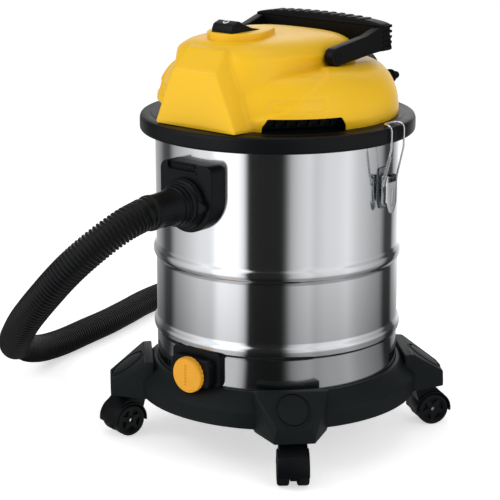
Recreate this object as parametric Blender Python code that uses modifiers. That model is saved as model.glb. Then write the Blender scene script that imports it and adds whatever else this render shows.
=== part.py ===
"""A wet and dry shop vacuum of about 20 litres, as an assembly of separate pieces.

Metres, +Z up. The origin is on the floor under the tank's axis. The front, with
the hose inlet, the drain and the switch, faces -Y, and +X is to the right of it.
"""

from math import atan2, cos, pi, radians, sin, sqrt

import bmesh
import bpy
from mathutils import Matrix, Vector

GAP = 0.0003                     # between pieces that touch
RUNNING = 0.0004                 # radial play of a piece that turns or slides

# Tank: a thin stainless drum with two rolled beads
TANK_RADIUS = 0.152
TANK_WALL = 0.001
TANK_FLOOR_Z = 0.082
TANK_RIM_Z = 0.4012
LIFT = TANK_RIM_Z - 0.4012        # the head and the inlet rise and fall with the rim
RIM_WIDTH = 0.0065
RIM_THICKNESS = 0.0027
BEAD_HEIGHTS = (0.243 + 0.6 * LIFT, 0.148)
BEAD_HALF_HEIGHT = 0.0088
BEAD_CREST = 0.0038              # half height of the bead's flat crest
BEAD_RISE = 0.0036
DRUM_STEPS = 44                  # facets round the drum and all that fits on it

# Base: a moulded tray with four legs
TRAY_THICKNESS = 0.0052
SKIRT_REACH = 0.026              # how far the skirt stands out from the tank
SKIRT_WALL = 0.0035
SKIRT_BOTTOM_Z = 0.060
SKIRT_CREASE_Z = 0.081
LIP_WIDTH = 0.0047
LIP_TOP_Z = 0.100
LEG_ANGLES = {"front_right": 45, "front_left": -45, "rear_right": 135, "rear_left": -135}
SWIVEL_REACH = 0.035             # swivel axis beyond the tank's wall
LEG_BOTTOM_Z = 0.0555
LEG_LEDGE_Z = 0.1050             # level top, before it slopes down to the tip
LEG_LEDGE_REACH = 0.0180         # the slope's start, beyond the tank's wall
LEG_TIP_REACH = 0.0615
LEG_TIP_Z = 0.0750               # the slope's end
LEG_LEDGE_HALF = 0.0440          # half widths of the slope, at its start and its end
LEG_TIP_HALF = 0.0215
LEG_SPREAD = 0.0030              # the foot is wider than the slope by this, each side
LEG_BOSS_HALF = (0.0220, 0.0185) # the oval cap on the slope: along it, and across it
LEG_BOSS_RISE = 0.0010
SOCKET_DEPTH = 0.0200

# Twin-wheel casters
WHEEL_RADIUS = 0.0205
WHEEL_WIDTH = 0.0148
WEB_THICKNESS = 0.0088
FENDER_WALL = 0.0022
FENDER_PLAY = 0.0012
AXLE_RADIUS = 0.0024
STEM_RADIUS = 0.0050
NECK_RADIUS = 0.0105
NECK_HALF_WIDTH = 0.0172         # the saddle over the wheels, across them
CASTER_TRAIL = 0.0130
CASTER_HEADINGS = {"front_right": 42, "front_left": -12, "rear_right": 146, "rear_left": -100}

# Hose inlet on the tank's front
INLET_Z = 0.328 + LIFT
INLET_FACE_REACH = 0.019         # front face beyond the tank's wall
INLET_HALF_WIDTH = 0.0405
INLET_TOP_RISE = 0.048
INLET_CORNER = 0.010
INLET_BOTTOM_DROP = 0.0355
CUFF_RADIUS = 0.0205
CUFF_WALL = 0.0030
CUFF_END_REACH = 0.085
SPIGOT_WALL = 0.0028
LOCK_RING_RADIUS = 0.0310
LOCK_RING_DEPTH = 0.0135

# Drain below the inlet
DRAIN_CAP_RADIUS = 0.0222
DRAIN_Z = 0.0918 + DRAIN_CAP_RADIUS  # the cap clears the base
DRAIN_CAP_DEPTH = 0.0080
DRAIN_CAP_WALL = 0.0023
DRAIN_FACE_REACH = 0.0138
DRAIN_HALF_WIDTH = 0.0300
DRAIN_TOP_RISE = 0.0200
DRAIN_FLANGE_REACH = 0.0020      # the flange on the drum, under the box that holds the cap
DRAIN_FLANGE_EXTRA = 0.0080      # how much wider and higher than the box it is
DRAIN_NECK_WALL = 0.0055
DRAIN_BORE = 0.0090

# Head: flange and motor pan, cover, vents
COLLAR_REACH = 0.0187
COLLAR_TOP_Z = 0.4150 + LIFT
COLLAR_BOTTOM_Z = 0.3942 + LIFT
COLLAR_WALL = 0.0052
PAN_RADIUS = 0.1180
PAN_WALL = 0.0025
PAN_FLOOR_Z = 0.3800 + LIFT
PAN_FLOOR_THICKNESS = 0.0030
PAN_EYE = 0.045
SEAL_THICKNESS = 0.0035

COVER_SIDE = 0.150
COVER_WALL = 0.0030
COVER_TOP_Z = 0.5150 + LIFT
NOSE_Y = -0.1550
NOSE_TOP_Z = 0.487 + LIFT
NOSE_BOTTOM_HALF = 0.0625
NOSE_TOP_HALF = 0.0320
RIDGE_HALF = 0.0835
VENT_ANGLE = 52
VENT_PLANE = 0.1205
VENT_HALF_WIDTH = 0.050
VENT_HEIGHT = 0.0160
VENT_DEPTH = 0.0060
LOUVRES = 6

# Switch on an island at the front of the ridge
ISLAND_TOP_Z = 0.5225 + LIFT
ISLAND_HALF = 0.036
ISLAND_FRONT_Y = -0.1130
ISLAND_REAR_Y = -0.0250
ROCKER_HALF = 0.0165
ROCKER_FRONT_Y = -0.1050
ROCKER_REAR_Y = -0.0540
ROCKER_AXIS_Z = 0.5175 + LIFT
ROCKER_PLAY = 0.0012

# Handle: a bail that folds back round the ridge
HANDLE_PIVOT_Y = -0.0090
HANDLE_PIVOT_Z = 0.4915 + LIFT
HANDLE_ARM = 0.0130
HANDLE_BOSS = 0.0112
HANDLE_REAR_Y = 0.0980
HANDLE_GRIP_DEPTH = 0.0200
HANDLE_GRIP_BOTTOM_Z = 0.4880 + LIFT
HANDLE_GRIP_TOP_Z = 0.5195 + LIFT
HANDLE_ARCH = 0.0080
HANDLE_PIN = 0.0040

# Latches, one each side
LATCH_Y = 0.0130
LATCH_PIVOT_Z = 0.3500 + LIFT
LATCH_PIVOT_REACH = 0.0095
LATCH_CRANK = 0.0090             # from the lever's pivot down to the bail
LEVER_HALF = 0.0105
LEVER_WALL = 0.0012
LEVER_LENGTH = 0.0440
BAIL_WIRE = 0.0013

# Motor, fan, float and filter inside the head
FAN_RADIUS = 0.0560
FAN_BLADES = 9
MOTOR_RADIUS = 0.0430
MOTOR_HEIGHT = 0.0640
SHAFT_RADIUS = 0.0040
CAGE_RADIUS = 0.0380
CAGE_WALL = 0.0020
CAGE_DEPTH = 0.0620
FLOAT_RADIUS = 0.0160
FLOAT_SEAT = 0.0120
FILTER_OUTER = 0.0560
FILTER_INNER = 0.0440
FILTER_PLEATS = 28

# Blower port and cable gland at the rear
PORT_Z = 0.4470 + LIFT
PORT_RADIUS = 0.0195
PORT_WALL = 0.0030
GLAND_X = 0.0700
GLAND_RADIUS = 0.0060

# Hose: 32 mm bore, corrugated
HOSE_RADIUS = 0.0195
HOSE_ROUTE = [
    (0.000, -0.2440, 0.3280), (-0.007, -0.2700, 0.3190), (-0.025, -0.2960, 0.2980),
    (-0.051, -0.3150, 0.2690), (-0.084, -0.3230, 0.2330), (-0.122, -0.3200, 0.1950), (-0.159, -0.3020, 0.1620),
    (-0.198, -0.2690, 0.1370), (-0.236, -0.2300, 0.1190), (-0.275, -0.1900, 0.1030),
    (-0.314, -0.1530, 0.0850), (-0.350, -0.1160, 0.0640), (-0.381, -0.0770, 0.0430),
    (-0.404, -0.0300, 0.0270), (-0.418, 0.0220, 0.0200), (-0.427, 0.0780, 0.0200),
    (-0.436, 0.1340, 0.0200), (-0.449, 0.1890, 0.0200), (-0.463, 0.2440, 0.0200),
    (-0.469, 0.3010, 0.0200), (-0.455, 0.3590, 0.0200), (-0.419, 0.4080, 0.0200),
    (-0.366, 0.4400, 0.0200), (-0.304, 0.4500, 0.0200), (-0.243, 0.4370, 0.0200),
    (-0.193, 0.4020, 0.0200), (-0.157, 0.3550, 0.0200), (-0.139, 0.3000, 0.0200),
]
END_CUFF_LENGTH = 0.0700

# Worked out from the sizes above
TANK_INNER = TANK_RADIUS - TANK_WALL
TANK_SEAT = TANK_RADIUS + GAP
SKIRT_RADIUS = TANK_RADIUS + SKIRT_REACH
SWIVEL_RADIUS = TANK_RADIUS + SWIVEL_REACH
TRAY_TOP_Z = TANK_FLOOR_Z - GAP
INLET_FACE_Y = -(TANK_RADIUS + INLET_FACE_REACH)
CUFF_BORE = CUFF_RADIUS + RUNNING
CUFF_END_Y = -(TANK_RADIUS + CUFF_END_REACH)
DRAIN_FACE_Y = -(TANK_RADIUS + DRAIN_FACE_REACH)
DRAIN_CAP_Y = DRAIN_FACE_Y - GAP - DRAIN_CAP_DEPTH
COLLAR_RADIUS = TANK_RADIUS + COLLAR_REACH
COVER_Z = COLLAR_TOP_Z + GAP
END_REACH = -INLET_FACE_Y + GAP + LOCK_RING_DEPTH     # the rear port balances the lock ring
CASTER_TOP_Z = LEG_BOTTOM_Z - 0.0026


# ---------------------------------------------------------------- tools

def new_collection(name, hidden=False):
    collection = bpy.data.collections.new(name)
    bpy.context.scene.collection.children.link(collection)
    collection.hide_render = hidden
    return collection


def material(name, hex_colour, roughness, metallic=0.0):
    """A Principled material from an sRGB colour."""
    made = bpy.data.materials.new(name)
    made.use_nodes = True
    shader = made.node_tree.nodes["Principled BSDF"]
    channels = [int(hex_colour[i:i + 2], 16) / 255 for i in (0, 2, 4)]
    linear = [c / 12.92 if c <= 0.04045 else ((c + 0.055) / 1.055) ** 2.4 for c in channels]
    shader.inputs["Base Color"].default_value = (*linear, 1)
    shader.inputs["Roughness"].default_value = roughness
    shader.inputs["Metallic"].default_value = metallic
    made.diffuse_color = (*linear, 1)
    return made


def part(name, mesh, finish, matrix=None, smooth=True):
    """A named piece in the vacuum's collection; no finish makes it a cutter."""
    obj = bpy.data.objects.new(name, mesh)
    if matrix is not None:
        obj.matrix_basis = matrix
    if finish is None:
        CUTTERS.objects.link(obj)
        obj.hide_render = True
        obj.display_type = "WIRE"
        return obj
    PARTS.objects.link(obj)
    if not mesh.materials:
        mesh.materials.append(finish)
    if smooth and mesh.polygons:
        mesh.shade_smooth()
        mesh.set_sharp_from_angle(angle=radians(35))
    return obj


def at(x=0.0, y=0.0, z=0.0):
    return Matrix.Translation((x, y, z))


def hinge_at(obj, x, y, z):
    """Moves a piece's origin to its joint, and leaves the piece where it is."""
    obj.data.transform(at(-x, -y, -z) @ obj.matrix_basis)
    obj.matrix_basis = at(x, y, z)


FORWARD = Matrix.Rotation(pi / 2, 4, "X")       # +Z becomes -Y, and +Y becomes +Z
BACKWARD = Matrix.Rotation(-pi / 2, 4, "X")     # +Z becomes +Y
SIDEWAYS = Matrix.Rotation(pi / 2, 4, "Z") @ Matrix.Rotation(pi / 2, 4, "X")  # XY goes to YZ


def compass(degrees_from_front):
    """Turns +X to a heading seen from above: 0 is the front (-Y), 90 is +X."""
    return Matrix.Rotation(radians(degrees_from_front - 90), 4, "Z")


def turned(name, profile, finish, matrix=None, steps=40):
    """A profile of (radius, height) points, spun round Z; off the axis it is a closed ring."""
    mesh = bpy.data.meshes.new(name)
    closed = profile[0][0] > 0
    edges = [(i, i + 1) for i in range(len(profile) - 1)]
    if closed:
        edges.append((len(profile) - 1, 0))
    mesh.from_pydata([(r, 0, z) for r, z in profile], edges, [])
    obj = part(name, mesh, finish, matrix)
    screw = obj.modifiers.new("Turn", "SCREW")
    screw.steps = screw.render_steps = steps
    screw.use_merge_vertices = True
    screw.merge_threshold = 0.00005
    screw.use_smooth_shade = False
    return obj


def mesh_from(curve_object):
    """The curve object's solid as a welded mesh; the curve goes."""
    bpy.context.view_layer.update()
    evaluated = curve_object.evaluated_get(bpy.context.evaluated_depsgraph_get())
    mesh = bpy.data.meshes.new_from_object(evaluated)
    work = bmesh.new()
    work.from_mesh(mesh)
    bmesh.ops.remove_doubles(work, verts=work.verts, dist=0.00001)
    work.to_mesh(mesh)
    work.free()
    mesh.materials.clear()
    bpy.data.objects.remove(curve_object)
    return mesh


def flat(name, outlines, low, high, finish, matrix=None, smooth=True):
    """Closed XY outlines, filled and pulled from z = low to z = high; inner outlines are holes."""
    curve = bpy.data.curves.new(name, "CURVE")
    curve.dimensions = "2D"
    curve.fill_mode = "BOTH"
    curve.extrude = (high - low) / 2
    for outline in outlines:
        spline = curve.splines.new("POLY")
        spline.points.add(len(outline) - 1)
        for point, (x, y) in zip(spline.points, outline):
            point.co = (x, y, 0, 1)
        spline.use_cyclic_u = True
    guide = bpy.data.objects.new(name, curve)
    CUTTERS.objects.link(guide)
    mesh = mesh_from(guide)
    mesh.transform(at(z=(low + high) / 2))
    return part(name, mesh, finish, matrix, smooth)


def tube(name, points, radius, finish, resolution=2):
    """A round wire or hose along the points, with filled ends."""
    curve = bpy.data.curves.new(name, "CURVE")
    curve.dimensions = "3D"
    curve.bevel_depth = radius
    curve.bevel_resolution = resolution
    curve.use_fill_caps = True
    spline = curve.splines.new("POLY")
    spline.points.add(len(points) - 1)
    for point, co in zip(spline.points, points):
        point.co = (*co, 1)
    guide = bpy.data.objects.new(name, curve)
    CUTTERS.objects.link(guide)
    return part(name, mesh_from(guide), finish)


def block(name, low, high, finish, bevel=0.0, matrix=None):
    """A box between two corners, with its edges rounded if asked."""
    work = bmesh.new()
    bmesh.ops.create_cube(work, size=1)
    size = Vector(high) - Vector(low)
    bmesh.ops.transform(work, verts=work.verts, matrix=at(*((Vector(low) + Vector(high)) / 2))
                        @ Matrix.Diagonal((*size, 1)))
    mesh = bpy.data.meshes.new(name)
    work.to_mesh(mesh)
    work.free()
    obj = part(name, mesh, finish, matrix, smooth=False)
    if bevel:
        rounding = obj.modifiers.new("Rounding", "BEVEL")
        rounding.width = bevel
        rounding.segments = 2
    return obj


def rod(name, radius, low, high, finish, matrix=None, sides=24):
    """A cylinder along Z between two heights."""
    work = bmesh.new()
    bmesh.ops.create_cone(work, cap_ends=True, segments=sides, radius1=radius, radius2=radius,
                          depth=high - low, matrix=at(z=(low + high) / 2))
    mesh = bpy.data.meshes.new(name)
    work.to_mesh(mesh)
    work.free()
    return part(name, mesh, finish, matrix)


def loft(name, rings, finish, matrix=None):
    """A solid through rings of equally many points, closed at both ends."""
    work = bmesh.new()
    rows = [[work.verts.new(point) for point in ring] for ring in rings]
    count = len(rings[0])
    for lower, upper in zip(rows, rows[1:]):
        for i in range(count):
            j = (i + 1) % count
            work.faces.new((lower[i], lower[j], upper[j], upper[i]))
    work.faces.new(reversed(rows[0]))
    work.faces.new(rows[-1])
    bmesh.ops.recalc_face_normals(work, faces=work.faces)
    mesh = bpy.data.meshes.new(name)
    work.to_mesh(mesh)
    work.free()
    return part(name, mesh, finish, matrix)


def boolean(obj, tool, operation):
    modifier = obj.modifiers.new(tool.name, "BOOLEAN")
    modifier.operation = operation
    modifier.solver = "EXACT"
    modifier.object = tool


def cut(obj, *tools):
    for tool in tools:
        boolean(obj, tool, "DIFFERENCE")


def join(obj, *tools):
    for tool in tools:
        boolean(obj, tool, "UNION")


def arc(centre, radius, start, end, count):
    """Points of a circular arc, angles in degrees."""
    return [(centre[0] + radius * cos(radians(start + (end - start) * i / count)),
             centre[1] + radius * sin(radians(start + (end - start) * i / count)))
            for i in range(count + 1)]


def rounded(half_x, low_y, high_y, corner, count=4):
    """A rectangle outline with round corners, symmetric in X."""
    x, low, high = half_x - corner, low_y + corner, high_y - corner
    return (arc((x, low), corner, -90, 0, count) + arc((x, high), corner, 0, 90, count)
            + arc((-x, high), corner, 90, 180, count) + arc((-x, low), corner, 180, 270, count))


# ---------------------------------------------------------------- tank and base

def drum_side(offset):
    """The drum's side from top to bottom, with its beads, moved out by an offset."""
    steps = [(0, BEAD_HALF_HEIGHT), (BEAD_RISE, BEAD_CREST), (BEAD_RISE, -BEAD_CREST), (0, -BEAD_HALF_HEIGHT)]
    return [(TANK_RADIUS + rise + offset, height + dz) for height in BEAD_HEIGHTS for rise, dz in steps]


def tank_form(name):
    """The outside of the drum with a gap, to shape what sits against it."""
    radius = TANK_RADIUS + GAP
    return turned(name, [(0, TANK_RIM_Z - 0.004), (radius, TANK_RIM_Z - 0.004)] + drum_side(GAP)
                  + [(radius, TANK_FLOOR_Z), (0, TANK_FLOOR_Z)], None, steps=DRUM_STEPS)


def make_tank(steel):
    rim = TANK_RADIUS + RIM_WIDTH
    profile = [(0, TANK_FLOOR_Z + TANK_WALL), (TANK_INNER - 0.004, TANK_FLOOR_Z + TANK_WALL),
               (TANK_INNER, TANK_FLOOR_Z + 0.005)]
    profile += drum_side(-TANK_WALL)[::-1]
    profile += [(TANK_INNER, TANK_RIM_Z), (rim, TANK_RIM_Z), (rim, TANK_RIM_Z - RIM_THICKNESS),
                (TANK_RADIUS, TANK_RIM_Z - RIM_THICKNESS)]
    profile += drum_side(0)
    profile += [(TANK_RADIUS, TANK_FLOOR_Z + 0.005), (TANK_RADIUS - 0.004, TANK_FLOOR_Z),
                (0, TANK_FLOOR_Z)]
    tank = turned("tank", profile, steel, steps=DRUM_STEPS)
    cut(tank,
        rod("inlet_hole", CUFF_BORE + SPIGOT_WALL + GAP, TANK_RADIUS - 0.02, TANK_RADIUS + 0.02,
            None, at(z=INLET_Z) @ FORWARD, sides=28),
        rod("drain_hole", DRAIN_BORE + 0.0025 + GAP, TANK_RADIUS - 0.02, TANK_RADIUS + 0.02,
            None, at(z=DRAIN_Z) @ FORWARD, sides=20))


def leg_section(half_top, half_foot, top, foot):
    """A leg's cross-section, square to the way it points: its foot, its sides and its sloped top."""
    shape = [(half_foot, foot), (half_foot, foot + 0.006), (half_top, top)]
    return shape + [(-y, z) for y, z in reversed(shape)]


def make_base(plastic):
    under = TRAY_TOP_Z - TRAY_THICKNESS
    lip = TANK_SEAT + LIP_WIDTH
    profile = [(0, TRAY_TOP_Z), (TANK_SEAT, TRAY_TOP_Z), (TANK_SEAT, LIP_TOP_Z), (lip, LIP_TOP_Z),
               (SKIRT_RADIUS, SKIRT_CREASE_Z), (SKIRT_RADIUS, SKIRT_BOTTOM_Z),
               (SKIRT_RADIUS - SKIRT_WALL, SKIRT_BOTTOM_Z), (SKIRT_RADIUS - SKIRT_WALL, under),
               (0, under)]
    base = turned("base_tray", profile, plastic, steps=DRUM_STEPS)
    root = lip + 0.0015
    ledge, tip = TANK_RADIUS + LEG_LEDGE_REACH, TANK_RADIUS + LEG_TIP_REACH
    slope = atan2(LEG_LEDGE_Z - LEG_TIP_Z, tip - ledge)
    middle = (LEG_LEDGE_Z + LEG_TIP_Z) / 2
    oval = [(LEG_BOSS_HALF[0] * x, LEG_BOSS_HALF[1] * y) for x, y in arc((0, 0), 1, 0, 345, 23)]
    for place, angle in LEG_ANGLES.items():
        heading = compass(angle)
        sections = [(root, leg_section(LEG_LEDGE_HALF + 0.002, LEG_LEDGE_HALF + LEG_SPREAD, LEG_LEDGE_Z,
                                       SKIRT_BOTTOM_Z)),
                    (ledge, leg_section(LEG_LEDGE_HALF, LEG_LEDGE_HALF, LEG_LEDGE_Z, LEG_BOTTOM_Z)),
                    (tip, leg_section(LEG_TIP_HALF, LEG_TIP_HALF + LEG_SPREAD, LEG_TIP_Z, LEG_BOTTOM_Z))]
        rings = [[(x, y, z) for y, z in section] for x, section in sections]
        face = heading @ at((ledge + tip) / 2, 0, middle) @ Matrix.Rotation(slope, 4, "Y")
        join(base,
             loft("leg_" + place, rings, None, heading),
             flat("boss_" + place, [oval], -0.004, LEG_BOSS_RISE, None, face))
        cut(base, rod("socket_" + place, STEM_RADIUS + RUNNING, LEG_BOTTOM_Z - 0.01,
                      LEG_BOTTOM_Z + SOCKET_DEPTH, None, heading @ at(SWIVEL_RADIUS), sides=12))


def make_caster(place, plastic, tyre, steel):
    """One twin-wheel caster. Its frame is at the swivel axis, +X to the heading."""
    frame = compass(LEG_ANGLES[place]) @ at(SWIVEL_RADIUS)
    axis = frame.to_translation()
    swivel = at(axis.x, axis.y) @ compass(CASTER_HEADINGS[place])
    hub = swivel @ at(CASTER_TRAIL, 0, WHEEL_RADIUS)
    upright = hub @ Matrix.Rotation(pi / 2, 4, "X")       # XY is the wheel's plane, Z its axle
    inner = WHEEL_RADIUS + FENDER_PLAY
    outer = inner + FENDER_WALL
    crown = WHEEL_RADIUS + inner + GAP                    # just above the room that the wheels need
    fender_half = WEB_THICKNESS / 2 + WHEEL_WIDTH
    shell = arc((0, 0), outer, -8, 188, 11) + arc((0, 0), inner, 188, -8, 11)
    hood = flat(f"caster_{place}_hood", [shell], -fender_half, fender_half, plastic, upright)
    hinge_at(hood, axis.x, axis.y, CASTER_TOP_Z)
    middle = inner + FENDER_WALL / 2
    web = arc((0, 0), middle, -20, 200, 9) + [(-0.008, -0.011), (0.008, -0.011)]
    neck = CASTER_TOP_Z - WHEEL_RADIUS
    saddle = arc((0, 0), middle, 45, 150, 7) + [(-CASTER_TRAIL - NECK_RADIUS, neck - 0.006),
                                                (-CASTER_TRAIL - NECK_RADIUS + 0.003, neck),
                                                (-CASTER_TRAIL + NECK_RADIUS, neck), (0.006, neck - 0.005)]
    join(hood,
         flat(f"web_{place}", [web], -WEB_THICKNESS / 2, WEB_THICKNESS / 2, None, upright),
         flat(f"saddle_{place}", [saddle], -NECK_HALF_WIDTH, NECK_HALF_WIDTH, None, upright))
    cut(hood,
        rod(f"axle_hole_{place}", AXLE_RADIUS + RUNNING, -0.02, 0.02, None, upright, sides=12),
        rod(f"stem_hole_{place}", STEM_RADIUS + GAP, crown + 0.0016, 0.08, None, swivel, sides=12))
    half = WHEEL_WIDTH / 2
    bore = AXLE_RADIUS + GAP
    face = [(bore, half - 0.0030), (0.0150, half - 0.0030), (0.0160, half), (WHEEL_RADIUS - 0.0020, half),
            (WHEEL_RADIUS, half - 0.0020), (WHEEL_RADIUS, -half + 0.0020),
            (WHEEL_RADIUS - 0.0020, -half + GAP), (bore, -half + GAP)]
    for side, name in ((1, "a"), (-1, "b")):
        turn = Matrix.Rotation(0 if side > 0 else pi, 4, "X")
        turned(f"caster_{place}_wheel_{name}", face, tyre,
               upright @ turn @ at(z=WEB_THICKNESS / 2 + half), steps=18)
    reach = fender_half - 0.0034
    rod(f"caster_{place}_axle", AXLE_RADIUS, -reach, reach, steel, upright, sides=16)
    foot = crown + 0.0016 + GAP
    high = LEG_BOTTOM_Z + SOCKET_DEPTH - 0.001
    stem = [(0, high), (STEM_RADIUS, high), (STEM_RADIUS, LEG_BOTTOM_Z - GAP),
            (NECK_RADIUS - 0.001, LEG_BOTTOM_Z - GAP), (NECK_RADIUS - 0.001, CASTER_TOP_Z + GAP),
            (STEM_RADIUS, CASTER_TOP_Z + GAP), (STEM_RADIUS, foot), (0, foot)]
    turned(f"caster_{place}_stem", stem, steel, swivel, steps=12)


# ---------------------------------------------------------------- inlet, drain and hose

def make_inlet(plastic):
    low, high = -INLET_BOTTOM_DROP, INLET_TOP_RISE
    x = INLET_HALF_WIDTH - INLET_CORNER
    shield = (arc((x, high - INLET_CORNER), INLET_CORNER, 0, 90, 4)
              + arc((-x, high - INLET_CORNER), INLET_CORNER, 90, 180, 4)
              + arc((0, low + INLET_HALF_WIDTH), INLET_HALF_WIDTH, 180, 360, 20))
    outer = CUFF_BORE + SPIGOT_WALL
    wall = TANK_RADIUS
    housing = flat("inlet_housing", [shield], wall - 0.012, -INLET_FACE_Y, plastic, at(z=INLET_Z) @ FORWARD)
    cut(housing, tank_form("inlet_saddle"))
    join(housing, rod("inlet_spigot", outer, wall - 0.022, -INLET_FACE_Y - 0.004, None,
                      at(z=INLET_Z) @ FORWARD, sides=28))
    cut(housing, rod("inlet_bore", CUFF_BORE, wall - 0.03, wall + 0.04, None,
                     at(z=INLET_Z) @ FORWARD, sides=28))

    cup = outer + GAP
    start, depth, shell = wall - 0.010, 0.036, 0.002
    deflector = turned("inlet_deflector",
                       [(0, start - depth + shell), (cup + 0.004 - shell, start - depth + shell),
                        (cup + 0.004 - shell, start - 0.008), (cup, start - 0.008), (cup, start),
                        (cup + 0.004, start), (cup + 0.004, start - depth), (0, start - depth)],
                       plastic, at(z=INLET_Z) @ FORWARD, steps=28)
    cut(deflector, block("deflector_mouth", (-0.016, -wall - 0.05, INLET_Z - 0.05),
                         (0.016, -(start - 0.013), INLET_Z - 0.012), None))


def make_lock_ring(plastic):
    face = -INLET_FACE_Y + GAP
    radius, bore = LOCK_RING_RADIUS, CUFF_BORE
    profile = [(bore, face + LOCK_RING_DEPTH), (radius - 0.0075, face + LOCK_RING_DEPTH),
               (radius - 0.0050, face + LOCK_RING_DEPTH - 0.0060), (radius - 0.0010, face + 0.0055),
               (radius, face + 0.0040), (radius, face), (bore, face)]
    ring = turned("inlet_lock_ring", profile, plastic, at(z=INLET_Z) @ FORWARD, steps=28)
    join(ring, block("ring_pointer", (radius - 0.0050, -(face + 0.0080), INLET_Z - 0.0050),
                     (radius + 0.0040, -(face + 0.0002), INLET_Z + 0.0050), None, bevel=0.0012),
         block("ring_tail", (-radius - 0.0040, -(face + 0.0080), INLET_Z - 0.0050),
               (-radius + 0.0050, -(face + 0.0002), INLET_Z + 0.0050), None, bevel=0.0012))


def smooth_route(points, count):
    """Evenly spaced points on a smooth curve through the route's own points."""
    knots = [Vector(p) for p in points]
    knots = [2 * knots[0] - knots[1]] + knots + [2 * knots[-1] - knots[-2]]
    dense = []
    for a, b, c, d in zip(knots, knots[1:], knots[2:], knots[3:]):
        for i in range(24):
            t = i / 24
            dense.append(0.5 * (2 * b + (c - a) * t + (2 * a - 5 * b + 4 * c - d) * t * t
                                + (3 * b - a - 3 * c + d) * t ** 3))
    dense.append(knots[-2])
    length = [0.0]
    for a, b in zip(dense, dense[1:]):
        length.append(length[-1] + (b - a).length)
    spaced, k = [], 0
    for i in range(count):
        want = length[-1] * i / (count - 1)
        while k < len(length) - 2 and length[k + 1] < want:
            k += 1
        share = (want - length[k]) / (length[k + 1] - length[k])
        spaced.append(dense[k].lerp(dense[k + 1], min(max(share, 0), 1)))
    return spaced


def make_hose(plastic, hose_plastic):
    seat = TANK_RADIUS - 0.010
    inner = CUFF_RADIUS - CUFF_WALL
    outer_end = -CUFF_END_Y
    cuff = [(inner, outer_end), (CUFF_RADIUS - 0.0008, outer_end), (CUFF_RADIUS, outer_end - 0.006),
            (CUFF_RADIUS, seat), (inner, seat)]
    turned("hose_cuff", cuff, plastic, at(z=INLET_Z) @ FORWARD, steps=28)
    heading = Vector((0, -1, 0))
    last = Vector(HOSE_ROUTE[-1])
    start = Vector((0, CUFF_END_Y - GAP, INLET_Z))
    shift = start - Vector((0, -0.2373, 0.3280))     # fades out by the time the hose is on the floor
    tied = [Vector(p) + shift * max(0, 1 - i / 12) for i, p in enumerate(HOSE_ROUTE)]
    route = [start] + smooth_route(tied, 34) + [last + heading * 0.004]
    tube("hose", route, HOSE_RADIUS, hose_plastic, resolution=3)
    socket = [(inner, END_CUFF_LENGTH), (HOSE_RADIUS - 0.0012, END_CUFF_LENGTH),
              (HOSE_RADIUS, END_CUFF_LENGTH - 0.004), (HOSE_RADIUS, 0), (inner, 0)]
    end = Matrix.Translation(last + heading * 0.0043) @ FORWARD
    turned("hose_end_cuff", socket, plastic, end, steps=24)


def make_drain(plastic, yellow, rubber):
    wall = TANK_RADIUS
    low = max(-0.0185, LIP_TOP_Z + GAP - DRAIN_Z)
    outline = rounded(DRAIN_HALF_WIDTH, low, DRAIN_TOP_RISE, 0.006)
    rim = rounded(DRAIN_HALF_WIDTH + DRAIN_FLANGE_EXTRA, low, DRAIN_TOP_RISE + DRAIN_FLANGE_EXTRA, 0.006)
    face = -DRAIN_FACE_Y
    place = at(z=DRAIN_Z) @ FORWARD
    housing = flat("drain_housing", [outline], wall - 0.010, face, plastic, place)
    join(housing, flat("drain_flange", [rim], wall - 0.012, wall + DRAIN_FLANGE_REACH, None, place))
    cut(housing, tank_form("drain_saddle"))
    neck = DRAIN_BORE + DRAIN_NECK_WALL
    neck_end = face + GAP + DRAIN_CAP_DEPTH - DRAIN_CAP_WALL - 0.0030
    join(housing, rod("drain_neck", neck, face - 0.003, neck_end, None, place),
         rod("drain_spigot", DRAIN_BORE + 0.0025, wall - 0.014, face - 0.001, None, place, sides=20))
    cut(housing, rod("drain_bore", DRAIN_BORE, wall - 0.02, face + 0.03, None, place))

    cavity = neck + RUNNING
    front = face + GAP + DRAIN_CAP_DEPTH
    turned("drain_cap",
           [(0, front), (DRAIN_CAP_RADIUS - 0.0015, front), (DRAIN_CAP_RADIUS, front - 0.0015),
            (DRAIN_CAP_RADIUS, face + GAP), (cavity, face + GAP),
            (cavity, front - DRAIN_CAP_WALL), (0, front - DRAIN_CAP_WALL)], yellow, place, steps=32)
    rod("drain_seal", neck - 0.0006, neck_end + GAP, front - DRAIN_CAP_WALL - GAP, rubber, place)


# ---------------------------------------------------------------- head

def make_pan(plastic, rubber):
    ceiling = TANK_RIM_Z + SEAL_THICKNESS + 2 * GAP
    skirt = COLLAR_RADIUS - COLLAR_WALL
    outer = PAN_RADIUS + PAN_WALL
    under = PAN_FLOOR_Z - PAN_FLOOR_THICKNESS
    profile = [(PAN_RADIUS, COLLAR_TOP_Z), (COLLAR_RADIUS - 0.0040, COLLAR_TOP_Z),
               (COLLAR_RADIUS - 0.0009, COLLAR_TOP_Z - 0.0020), (COLLAR_RADIUS, COLLAR_TOP_Z - 0.0055),
               (COLLAR_RADIUS, COLLAR_BOTTOM_Z + 0.0030), (COLLAR_RADIUS - 0.0015, COLLAR_BOTTOM_Z),
               (skirt, COLLAR_BOTTOM_Z), (skirt, ceiling), (outer, ceiling), (outer, under),
               (PAN_EYE, under), (PAN_EYE, PAN_FLOOR_Z), (PAN_RADIUS, PAN_FLOOR_Z)]
    turned("head_flange", profile, plastic, steps=DRUM_STEPS)
    seal = [(TANK_INNER + 0.0005, ceiling - GAP), (TANK_RADIUS + RIM_WIDTH, ceiling - GAP),
            (TANK_RADIUS + RIM_WIDTH, TANK_RIM_Z + GAP), (TANK_INNER + 0.0005, TANK_RIM_Z + GAP)]
    turned("tank_seal", seal, rubber, steps=DRUM_STEPS)


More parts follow.
